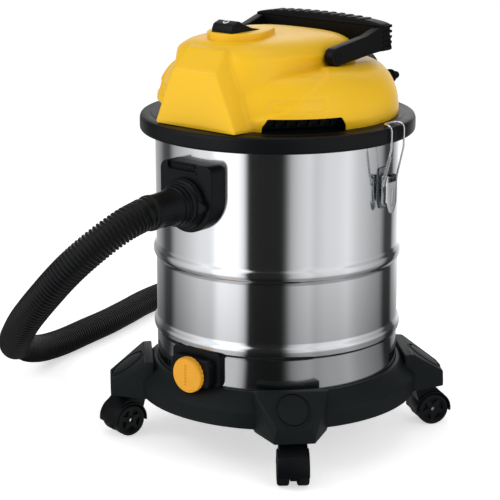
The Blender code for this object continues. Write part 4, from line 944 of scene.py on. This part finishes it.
def nose(name, material, inset=0.0):
    """The flat-fronted block that carries the front panel."""
    points = []
    for z, half, front in ((COVER_Z, 0.0625, -0.155), (0.4830, 0.0335, -0.155), (0.4870, 0.0320, -0.151),
                           (0.5080, 0.0300, -0.134)):
        z = z - inset if z > COVER_Z else z - (0.002 if inset else 0)
        for x in (half - inset, -half + inset):
            points += [(x, front + inset, z), (x * 1.16, -0.090, z)]
    return hull(name, points, material)


class VACUUM_OT_collar(bpy.types.Operator):
    """The black collar that seats the head on the drum, with the motor pan"""
    bl_idname = "vacuum.collar"
    bl_label = "Collar"

    def execute(self, context):
        ceiling, skirt = 0.4053, 0.1655
        rim = eased([(0.1180, COLLAR_TOP_Z), (0.1560, COLLAR_TOP_Z), (0.1575, COLLAR_TOP_Z - 0.0008),
                     (0.1640, COLLAR_TOP_Z - 0.0008), (COLLAR_RADIUS - 0.0015, COLLAR_TOP_Z - 0.0020),
                     (COLLAR_RADIUS, COLLAR_TOP_Z - 0.0060), (COLLAR_RADIUS, 0.3968), (0.1692, 0.3942),
                     (skirt, 0.3942), (skirt, ceiling), (0.1205, ceiling), (0.1205, 0.3770),
                     (0.0450, 0.3770), (0.0450, 0.3800), (0.1180, 0.3800)], 1.6 * MM, closed=True, count=4)
        collar = spun("head_collar", rim, finish("black_plastic"), context.scene.vacuum_sizes.drum_steps)
        ready(collar, "root", "black_plastic", "head_flange")
        return {"FINISHED"}


class VACUUM_OT_cover(bpy.types.Operator):
    """The yellow cover: shoulder, ridge, front panel and switch island in one blended moulding"""
    bl_idname = "vacuum.cover"
    bl_label = "Cover"

    def execute(self, context):
        plastic = finish("cover_plastic")
        cover = tier("head_moulding", fine_levels(SHOULDER), plastic)
        join(cover, tier("ridge", fine_levels(RIDGE), plastic), nose("nose", plastic))
        self.blend_form(cover, context.scene.vacuum_sizes.cover_voxel)
        self.sculpt(cover)
        join(cover, self.island(plastic))
        self.openings(cover, plastic)
        ready(sharpen(cover, 38), "root", "cover_plastic", "head_cover")
        return {"FINISHED"}

    def blend_form(self, cover, voxel):
        """Rebuilds the form on an even grid and rounds the creases where its blocks meet."""
        grid = cover.modifiers.new("Even grid", "REMESH")
        grid.mode = "VOXEL"
        grid.voxel_size = voxel
        resolved(cover)
        work = bmesh.new()
        work.from_mesh(cover.data)
        for _ in range(5):
            bmesh.ops.smooth_vert(work, verts=work.verts, factor=0.5, use_axis_x=True, use_axis_y=True,
                                  use_axis_z=True)
        flat_foot = bmesh.ops.bisect_plane(work, geom=work.verts[:] + work.edges[:] + work.faces[:],
                                           plane_co=(0, 0, COVER_Z + 0.0012), plane_no=(0, 0, -1),
                                           clear_outer=True)["geom_cut"]
        rim = [e for e in flat_foot if isinstance(e, bmesh.types.BMEdge)]
        wall = bmesh.ops.extrude_edge_only(work, edges=rim)["geom"]
        for vert in [g for g in wall if isinstance(g, bmesh.types.BMVert)]:
            vert.co.z = COVER_Z
        bmesh.ops.holes_fill(work, edges=[e for e in work.edges if e.is_boundary])
        bmesh.ops.recalc_face_normals(work, faces=work.faces)
        work.to_mesh(cover.data)
        work.free()

    def sculpt(self, cover):
        """Draws the swept creases and the shallow panels that break up the sides."""
        mesh = cover.data
        normals = [v.normal.copy() for v in mesh.vertices]
        for vert, normal in zip(mesh.vertices, normals):
            vert.co += normal * self.relief(vert.co)

    def relief(self, co):
        side = abs(co.x)
        heading = atan2(side, -co.y) * 180 / pi              # 0 at the front, 90 at the side
        reach = (co.x ** 2 + co.y ** 2) ** 0.5
        height = co.z
        rise = 0.0
        # a lobe swells behind the nose and sweeps up and back to the ridge
        crease = 0.430 + 0.052 * smooth_step(28, 78, heading)
        over = smooth_step(crease - 0.002, crease + 0.003, height)
        rise += 0.0030 * (1 - over) * smooth_step(24, 34, heading) * (1 - smooth_step(70, 100, heading)) \
            * smooth_step(0.417, 0.428, height) * (1 if reach > 0.095 else 0)
        # a second, higher fold runs along the ridge's flank
        fold = 0.4995 - 0.012 * smooth_step(-0.11, 0.06, co.y)
        if side > 0.055 and -0.125 < co.y < 0.085:
            rise += 0.0022 * exp(-((height - fold) / 0.0035) ** 2) * smooth_step(-0.125, -0.09, co.y) \
                * (1 - smooth_step(0.05, 0.085, co.y))
        # the recessed patch above each vent
        patch = smooth_step(34, 36.5, heading) * (1 - smooth_step(60, 62.5, heading))
        patch *= smooth_step(0.4375, 0.4395, height) * (1 - smooth_step(0.4505, 0.4525, height))
        return rise - 0.0018 * patch * (1 if reach > 0.12 else 0)

    def island(self, plastic):
        """The raised seat of the switch."""
        outline = (arc((0, -0.077), 0.036, 180, 360, 40)
                   + [(0.0288, -0.052), (0.0162, -0.025), (-0.0162, -0.025), (-0.0288, -0.052)])
        return prism("switch_island", eased(outline, 3 * MM, closed=True), 0.4950, 0.5225, plastic,
                     edge=2.2 * MM, segments=4)

    def openings(self, cover, plastic):
        """The room inside, and the holes for the switch, the vents, the pins and the rear fittings."""
        cut(cover, tier("shoulder_room", shrunk(SHOULDER, COVER_WALL), plastic, 64),
            tier("ridge_room", shrunk(RIDGE, COVER_WALL), plastic, 64),
            nose("nose_room", plastic, COVER_WALL))
        cut(cover, crate("rocker_hole", (-0.0171, -0.1062, 0.480), (0.0171, -0.0528, 0.540), plastic))
        cut(cover, crate("island_seam", (-0.0150, -0.1150, 0.4900), (-0.0145, -0.1050, 0.5200), plastic))
        for side, name in ((1, "right"), (-1, "left")):
            vent = compass(side * VENT_ANGLE)
            slot = [(-0.050, COVER_Z - 0.01), (0.050, COVER_Z - 0.01), (0.050, COVER_Z + 0.006),
                    (0.044, COVER_Z + 0.0160), (-0.044, COVER_Z + 0.0160), (-0.050, COVER_Z + 0.006)]
            cut(cover, prism(f"vent_hole_{name}", eased(slot, 1.5 * MM, closed=True), 0.1145, 0.200,
                             plastic, vent @ SIDEWAYS))
            pin = at(0, *HANDLE_PIVOT) @ Matrix.Rotation(side * pi / 2, 4, "Y")
            cut(cover, rod(f"pin_hole_{name}", 0.0043, 0.063, 0.104, plastic, pin, steps=32))
        port = at(z=PORT_Z) @ BACKWARD
        cut(cover, rod("port_hole", 0.0198, 0.10, 0.20, plastic, port, steps=64),
            rod("gland_hole", 0.0063, 0.08, 0.20, plastic, at(GLAND_X, 0, PORT_Z) @ BACKWARD, steps=32))


class VACUUM_OT_fittings(bpy.types.Operator):
    """The two vents, the blower port and the cable gland"""
    bl_idname = "vacuum.fittings"
    bl_label = "Vents and rear fittings"

    def execute(self, context):
        black, rubber = finish("black_plastic"), finish("rubber")
        for side, name in ((1, "right"), (-1, "left")):
            self.vent(side, name, black)
        place = at(z=PORT_Z) @ BACKWARD
        mouth = eased([(0.0165, 0.1848), (0.0195, 0.1848), (0.0195, 0.1600), (0.0202, 0.1590),
                       (0.0202, 0.1545), (0.0245, 0.1545), (0.0245, 0.1515), (0.0195, 0.1515),
                       (0.0195, 0.1280), (0.0165, 0.1280)], 0.7 * MM, closed=True)
        port = spun("blower_mouth", mouth, black, 80, place)
        ready(port, "root", "black_plastic", "blower_port")
        seat = (0.150 ** 2 - 0.060 ** 2) ** 0.5 + 0.001
        outline = [(0, seat + 0.016), (0.0038, seat + 0.016), (0.0042, seat + 0.0155)]
        for i in range(4):                                # flexing rings
            z = seat + 0.0135 - 0.0026 * i
            outline += [(0.0043, z), (0.0050, z - 0.0004), (0.0051, z - 0.0012), (0.0044, z - 0.0016)]
        outline += [(0.0055, seat + 0.003), (0.0088, seat + 0.003), (0.0090, seat), (0.0060, seat),
                    (0.0060, seat - 0.020), (0, seat - 0.020)]
        gland = spun("cord_gland", outline, rubber, 48, at(GLAND_X, 0, PORT_Z) @ BACKWARD)
        ready(gland, "root", "rubber", "cable_gland")
        return {"FINISHED"}

    def vent(self, side, name, plastic):
        """A dark panel with slanted ribs over a recessed back."""
        pose = compass(side * VENT_ANGLE) @ SIDEWAYS
        frame_outline = eased([(-0.0497, COVER_Z), (0.0497, COVER_Z), (0.0497, COVER_Z + 0.006),
                               (0.0437, COVER_Z + 0.0157), (-0.0437, COVER_Z + 0.0157),
                               (-0.0497, COVER_Z + 0.006)], 1.5 * MM, closed=True)
        vent = prism(f"vent_{name}", frame_outline, VENT_PLANE - 0.0057, VENT_PLANE + 0.0006, plastic, pose,
                     edge=0.5 * MM)
        for i in range(6):
            left = -0.0400 + 0.0135 * i
            slot = eased([(left, COVER_Z + 0.0028), (left + 0.0085, COVER_Z + 0.0028),
                          (left + 0.0115, COVER_Z + 0.0130), (left + 0.0030, COVER_Z + 0.0130)],
                         0.8 * MM, closed=True)
            cut(vent, prism(f"vent_slot_{i}", slot, VENT_PLANE - 0.0040, VENT_PLANE + 0.01, plastic, pose))
        ready(sharpen(vent), "root", "black_plastic", f"vent_grille_{name}")


class VACUUM_OT_rocker(bpy.types.Operator):
    """The rocker switch with its ring mark"""
    bl_idname = "vacuum.rocker"
    bl_label = "Switch"

    def execute(self, context):
        black = finish("black_plastic")
        pose = at(0, *SWITCH_PIVOT) @ SIDEWAYS
        view = [(-0.0225, -0.0065), (0.0225, -0.0065), (0.0255, 0.0020), (0.0255, 0.0055),
                (0.0135, 0.0075), (-0.0040, 0.0145), (-0.0120, 0.0185), (-0.0225, 0.0150),
                (-0.0255, 0.0090), (-0.0255, 0.0020)]
        rocker = prism("rocker", eased(view, 2 * MM, closed=True, count=5), -0.0165, 0.0165, black, pose,
                       edge=2.0 * MM, segments=4)
        ready(sharpen(rocker), "switch_rocker", "black_plastic", "switch_rocker")
        ink, tree, shader = blank("White pad print", Roughness=0.5)
        tinted(tree, shader, noise(tree, 400.0), linear("D8DADB"), linear("F2F3F3"))
        tilt = at(0, -0.0968, 0.5343) @ Matrix.Rotation(radians(18.4), 4, "X")
        band = [(0.0027, 0.0009), (0.0040, 0.0009), (0.0040, -0.0006), (0.0027, -0.0006)]
        mark = spun("rocker_mark", eased(band, 0.2 * MM, closed=True), ink, 48, tilt)
        ready(mark, "switch_rocker", "black_plastic")
        return {"FINISHED"}


class VACUUM_OT_handle(bpy.types.Operator):
    """The folding carry handle with grip ribs"""
    bl_idname = "vacuum.handle"
    bl_label = "Handle"

    def execute(self, context):
        plastic = finish("handle_plastic")
        edge = context.scene.vacuum_sizes.soft_edge
        inner, outer, rear, depth = RIDGE_HALF + 0.0030, RIDGE_HALF + 0.0160, 0.0980, 0.0200
        low, high, arch = 0.4880, 0.5195, 0.0080
        top = [(outer * x, high + arch * y) for x, y in arc((0, 0), 1, 0, 180, 40)]
        bottom = [(-x, z - high + low) for x, z in top]
        handle = prism("handle_bail", eased(top + bottom, 3 * MM, closed=True), 0.0, depth, plastic,
                       at(y=rear) @ FORWARD, edge=2 * edge, segments=4)
        arm = (arc(HANDLE_PIVOT, 0.0112, 105, 285, 24)
               + eased([(0.060, 0.4870), (rear - 0.001, low + 0.001), (rear - 0.001, high - 0.002),
                        (rear - depth, high - 0.001), (0.050, 0.5100)], 3 * MM, count=4))
        for side, name in ((1, "right"), (-1, "left")):
            ends = (inner, outer) if side > 0 else (-outer, -inner)
            join(handle, prism(f"handle_arm_{name}", arm, *ends, plastic, SIDEWAYS, edge=1.5 * edge,
                               segments=3))
            for i in range(5):                            # grip ribs on the rear corner
                z = low + 0.0035 + 0.0066 * i
                a, b = sorted((side * (outer - 0.030), side * (outer + 0.0012)))
                join(handle, crate(f"corner_rib_{name}_{i}", (a, rear - 0.016, z - 0.0018),
                                   (b, rear + 0.0016, z + 0.0018), plastic, edge=0.9 * MM))
            boss = at(0, *HANDLE_PIVOT) @ Matrix.Rotation(side * pi / 2, 4, "Y")
            groove = [(0.0052, outer - 0.0006), (0.0060, outer - 0.0006), (0.0060, outer + 0.002),
                      (0.0052, outer + 0.002)]
            cut(handle, rod(f"pin_bore_{name}", 0.0044, inner - 0.01, outer - 0.003, plastic, boss, 24),
                spun(f"boss_ring_{name}", groove, plastic, 40, boss))
        for i in range(-5, 6):                            # cross ribs on the arched top
            x = 0.0135 * i
            z = high + arch * (1 - (x / outer) ** 2) ** 0.5
            join(handle, crate(f"top_rib_{i}", (x - 0.0035, rear - 0.0185, z - 0.003),
                               (x + 0.0035, rear - 0.0015, z + 0.0009), plastic, edge=0.8 * MM))
        ready(sharpen(handle), "carry_handle", "handle_plastic", "carry_handle")
        return {"FINISHED"}


# ---------------------------------------------------------------- latches

class VACUUM_OT_latches(bpy.types.Operator):
    """The toggle latches: bracket, lever and sprung wire bail on each side"""
    bl_idname = "vacuum.latches"
    bl_label = "Latches"

    def execute(self, context):
        for side, name in ((1, "right"), (-1, "left")):
            # the brackets' darker steel colour is painted shade from the levers
            self.bracket(side, name, finish("latch_steel"))
            self.lever(side, name, finish("plated_steel"))
            self.bail(side, name, finish("plated_steel"))
        return {"FINISHED"}

    def bracket(self, side, name, steel):
        """A pressed back plate with two ears and a riveted pin."""
        ear = 0.0069
        outline = eased([(-ear - 0.002, 0.3200), (-ear + 0.001, 0.3120), (ear - 0.001, 0.3120),
                         (ear + 0.002, 0.3200), (ear + 0.002, 0.3620), (-ear - 0.002, 0.3620)],
                        1.5 * MM, closed=True)
        face = Matrix.Diagonal((side, 1, 1, 1)) @ at(0, LATCH_Y, 0) @ SIDEWAYS
        bracket = prism(f"latch_plate_{name}", outline, 0.1483, 0.1537, steel, face, edge=0.3 * MM)
        cheek = eased([(0.1500, 0.3440), (0.1540, 0.3465), (0.1630, 0.3465), (0.1630, 0.3535),
                       (0.1540, 0.3535), (0.1500, 0.3560)], 1.4 * MM, closed=True)
        for i, y in enumerate((-ear, ear - 0.0014)):
            stand = at(0, LATCH_Y + y + 0.0014, 0) @ FORWARD
            join(bracket, prism(f"latch_ear_{name}_{i}", [(side * x, z) for x, z in cheek], 0, 0.0014,
                                steel, stand))
        pin = at(side * LATCH_PIVOT[0], LATCH_Y, LATCH_PIVOT[1]) @ FORWARD
        join(bracket, rod(f"latch_rivet_{name}", 0.0015, -0.0111, 0.0111, steel, pin, steps=24))
        cut(bracket, tank_form(f"bracket_saddle_{name}"))
        ready(sharpen(bracket), "root", "latch_steel", f"latch_bracket_{name}")

    def lever(self, side, name, steel):
        """A pressed channel that hangs down over the bracket, its tip drawn to a rounded point."""
        outside, wall, half = LATCH_OUTSIDE, 0.0012, 0.0100
        face = Matrix.Diagonal((side, 1, 1, 1)) @ at(0, LATCH_Y, 0) @ SIDEWAYS
        shape = eased([(-half, 0.3545), (-half, 0.3200), (-half * 0.55, 0.3090), (0, 0.3062),
                       (half * 0.55, 0.3090), (half, 0.3200), (half, 0.3545)],
                      3 * MM, closed=True, count=5)
        lever = prism(f"lever_plate_{name}", shape, LATCH_PIVOT[0] - 0.0035, outside, steel, face,
                      edge=0.8 * MM, segments=3)
        cut(lever, crate(f"lever_room_{name}", (-0.01, -half + wall, 0.290),
                         (0.5 * wall, half - wall, 0.360), steel,
                         at(side * (outside - wall) - (0 if side > 0 else -0.01 + 0.5 * wall), LATCH_Y)))
        cut(lever, *[rod(f"lever_hole_{name}_{i}", radius, -0.02, 0.02, steel,
                         at(side * x, LATCH_Y, z) @ FORWARD, steps=24)
                     for i, (radius, (x, z)) in enumerate(((0.0019, LATCH_PIVOT), (0.0017, LATCH_CRANK)))])
        join(lever, crate(f"lever_bead_{name}", (-0.0010, -0.0022, 0.316), (0.0009, 0.0022, 0.338), steel,
                          at(side * outside, LATCH_Y), edge=0.8 * MM))
        cut(lever, crate(f"lever_fork_{name}", (-0.0030, -0.0082, LATCH_PIVOT[1] - 0.0042),
                         (0.0030, 0.0082, 0.370), steel, at(side * outside, LATCH_Y), edge=0.8 * MM))
        ready(sharpen(lever), f"latch_lever_{name}", "plated_steel", f"latch_lever_{name}")

    def bail(self, side, name, steel):
        """Spring wire: up past the collar, over its edge and across its top, with a coil on one leg."""
        crank_x, crank_z = LATCH_CRANK
        wire, leg, clear, over = 0.0013, 0.0125, 0.1732, 0.4166
        half = [(crank_x, 0.0084, crank_z), (crank_x, leg, crank_z),
                (crank_x + 0.0005, leg, crank_z + 0.004), (clear, leg, 0.3882),
                (clear, leg, over - 0.006), (clear - 0.0018, leg, over - 0.0016),
                (clear - 0.006, leg, over), (clear - 0.011, leg - 0.001, over),
                (clear - 0.013, leg - 0.004, over)]
        path = half + [(x, -y, z) for x, y, z in reversed(half)]
        soft = eased([(side * x, y + LATCH_Y, z) for x, y, z in path], 2.8 * MM, count=4)
        bail = sweep(f"bail_wire_{name}", soft, lambda length, angle: wire, steel, sides=14)
        ready(bail, f"latch_bail_{name}", "plated_steel", f"latch_bail_{name}")
        # the coil: fourteen turns, twelve points to a turn
        low = Vector((side * (crank_x + 0.0018), LATCH_Y - leg - 0.0002, crank_z + 0.010))
        high = Vector((side * (clear - 0.0012), LATCH_Y - leg - 0.0002, 0.3800))
        along = (high - low).normalized()
        across = along.cross(Vector((0, 1, 0))).normalized()
        depth = along.cross(across)
        coil = [low + (high - low) * (k / 168)
                + (across * cos(2 * pi * k / 12) + depth * sin(2 * pi * k / 12)) * 0.0020
                for k in range(169)]
        spring = sweep(f"bail_spring_{name}", coil, lambda length, angle: 0.0005, steel, sides=8)
        ready(spring, f"latch_bail_{name}", "plated_steel")


# ---------------------------------------------------------------- inner pieces

class VACUUM_OT_inner(bpy.types.Operator):
    """Real finishes for the pieces that keep their own shape: motor, filter, float, seals, stems"""
    bl_idname = "vacuum.inner"
    bl_label = "Inner pieces"

    def execute(self, context):
        slots = {"motor": "motor_steel", "fan_shroud": "motor_steel", "motor_shaft": "plated_steel",
                 "fan_impeller": "white_nylon", "float_ball": "white_nylon", "float_cage": "black_plastic",
                 "filter_cap": "black_plastic", "filter_cartridge": "filter_paper", "tank_seal": "rubber",
                 "motor_gasket": "rubber", "drain_seal": "rubber", "switch_body": "black_plastic",
                 "inlet_deflector": "black_plastic", "handle_pin_left": "plated_steel",
                 "handle_pin_right": "plated_steel"}
        for place in LEG_ANGLES:
            slots[f"caster_{place}_stem"] = slots[f"caster_{place}_axle"] = "plated_steel"
        for node, slot in slots.items():
            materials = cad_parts[node].data.materials
            for i in range(len(materials)):
                materials[i] = finish(slot)
        return {"FINISHED"}


# ---------------------------------------------------------------- sidebar

OPERATORS = (VACUUM_OT_stage, VACUUM_OT_hose, VACUUM_OT_tank, VACUUM_OT_base, VACUUM_OT_casters,
             VACUUM_OT_inlet, VACUUM_OT_drain, VACUUM_OT_collar, VACUUM_OT_cover,
             VACUUM_OT_fittings, VACUUM_OT_rocker, VACUUM_OT_handle, VACUUM_OT_latches,
             VACUUM_OT_inner)


class VACUUM_PT_sidebar(bpy.types.Panel):
    """Lists the sizes, the colours and the pieces"""
    bl_idname = "VACUUM_PT_sidebar"
    bl_label = "Shop vacuum"
    bl_space_type = "VIEW_3D"
    bl_region_type = "UI"
    bl_category = "Shop vacuum"

    def draw(self, context):
        scene, column = context.scene, self.layout.column()
        for group in (scene.vacuum_sizes, scene.vacuum_colours):
            for name in group.__annotations__:
                column.prop(group, name)
        for operator in OPERATORS:
            column.operator(operator.bl_idname)


CLASSES = (VacuumSizes, VacuumColours) + OPERATORS + (VACUUM_PT_sidebar,)


def register():
    for each in CLASSES:
        bpy.utils.register_class(each)
    bpy.types.Scene.vacuum_sizes = PointerProperty(type=VacuumSizes)
    bpy.types.Scene.vacuum_colours = PointerProperty(type=VacuumColours)


def unregister():
    del bpy.types.Scene.vacuum_colours
    del bpy.types.Scene.vacuum_sizes
    for each in reversed(CLASSES):
        bpy.utils.unregister_class(each)


def main():
    register()
    for operator in OPERATORS:
        getattr(bpy.ops.vacuum, operator.bl_idname.split(".")[1])()


if __name__ == "__main__":
    main()
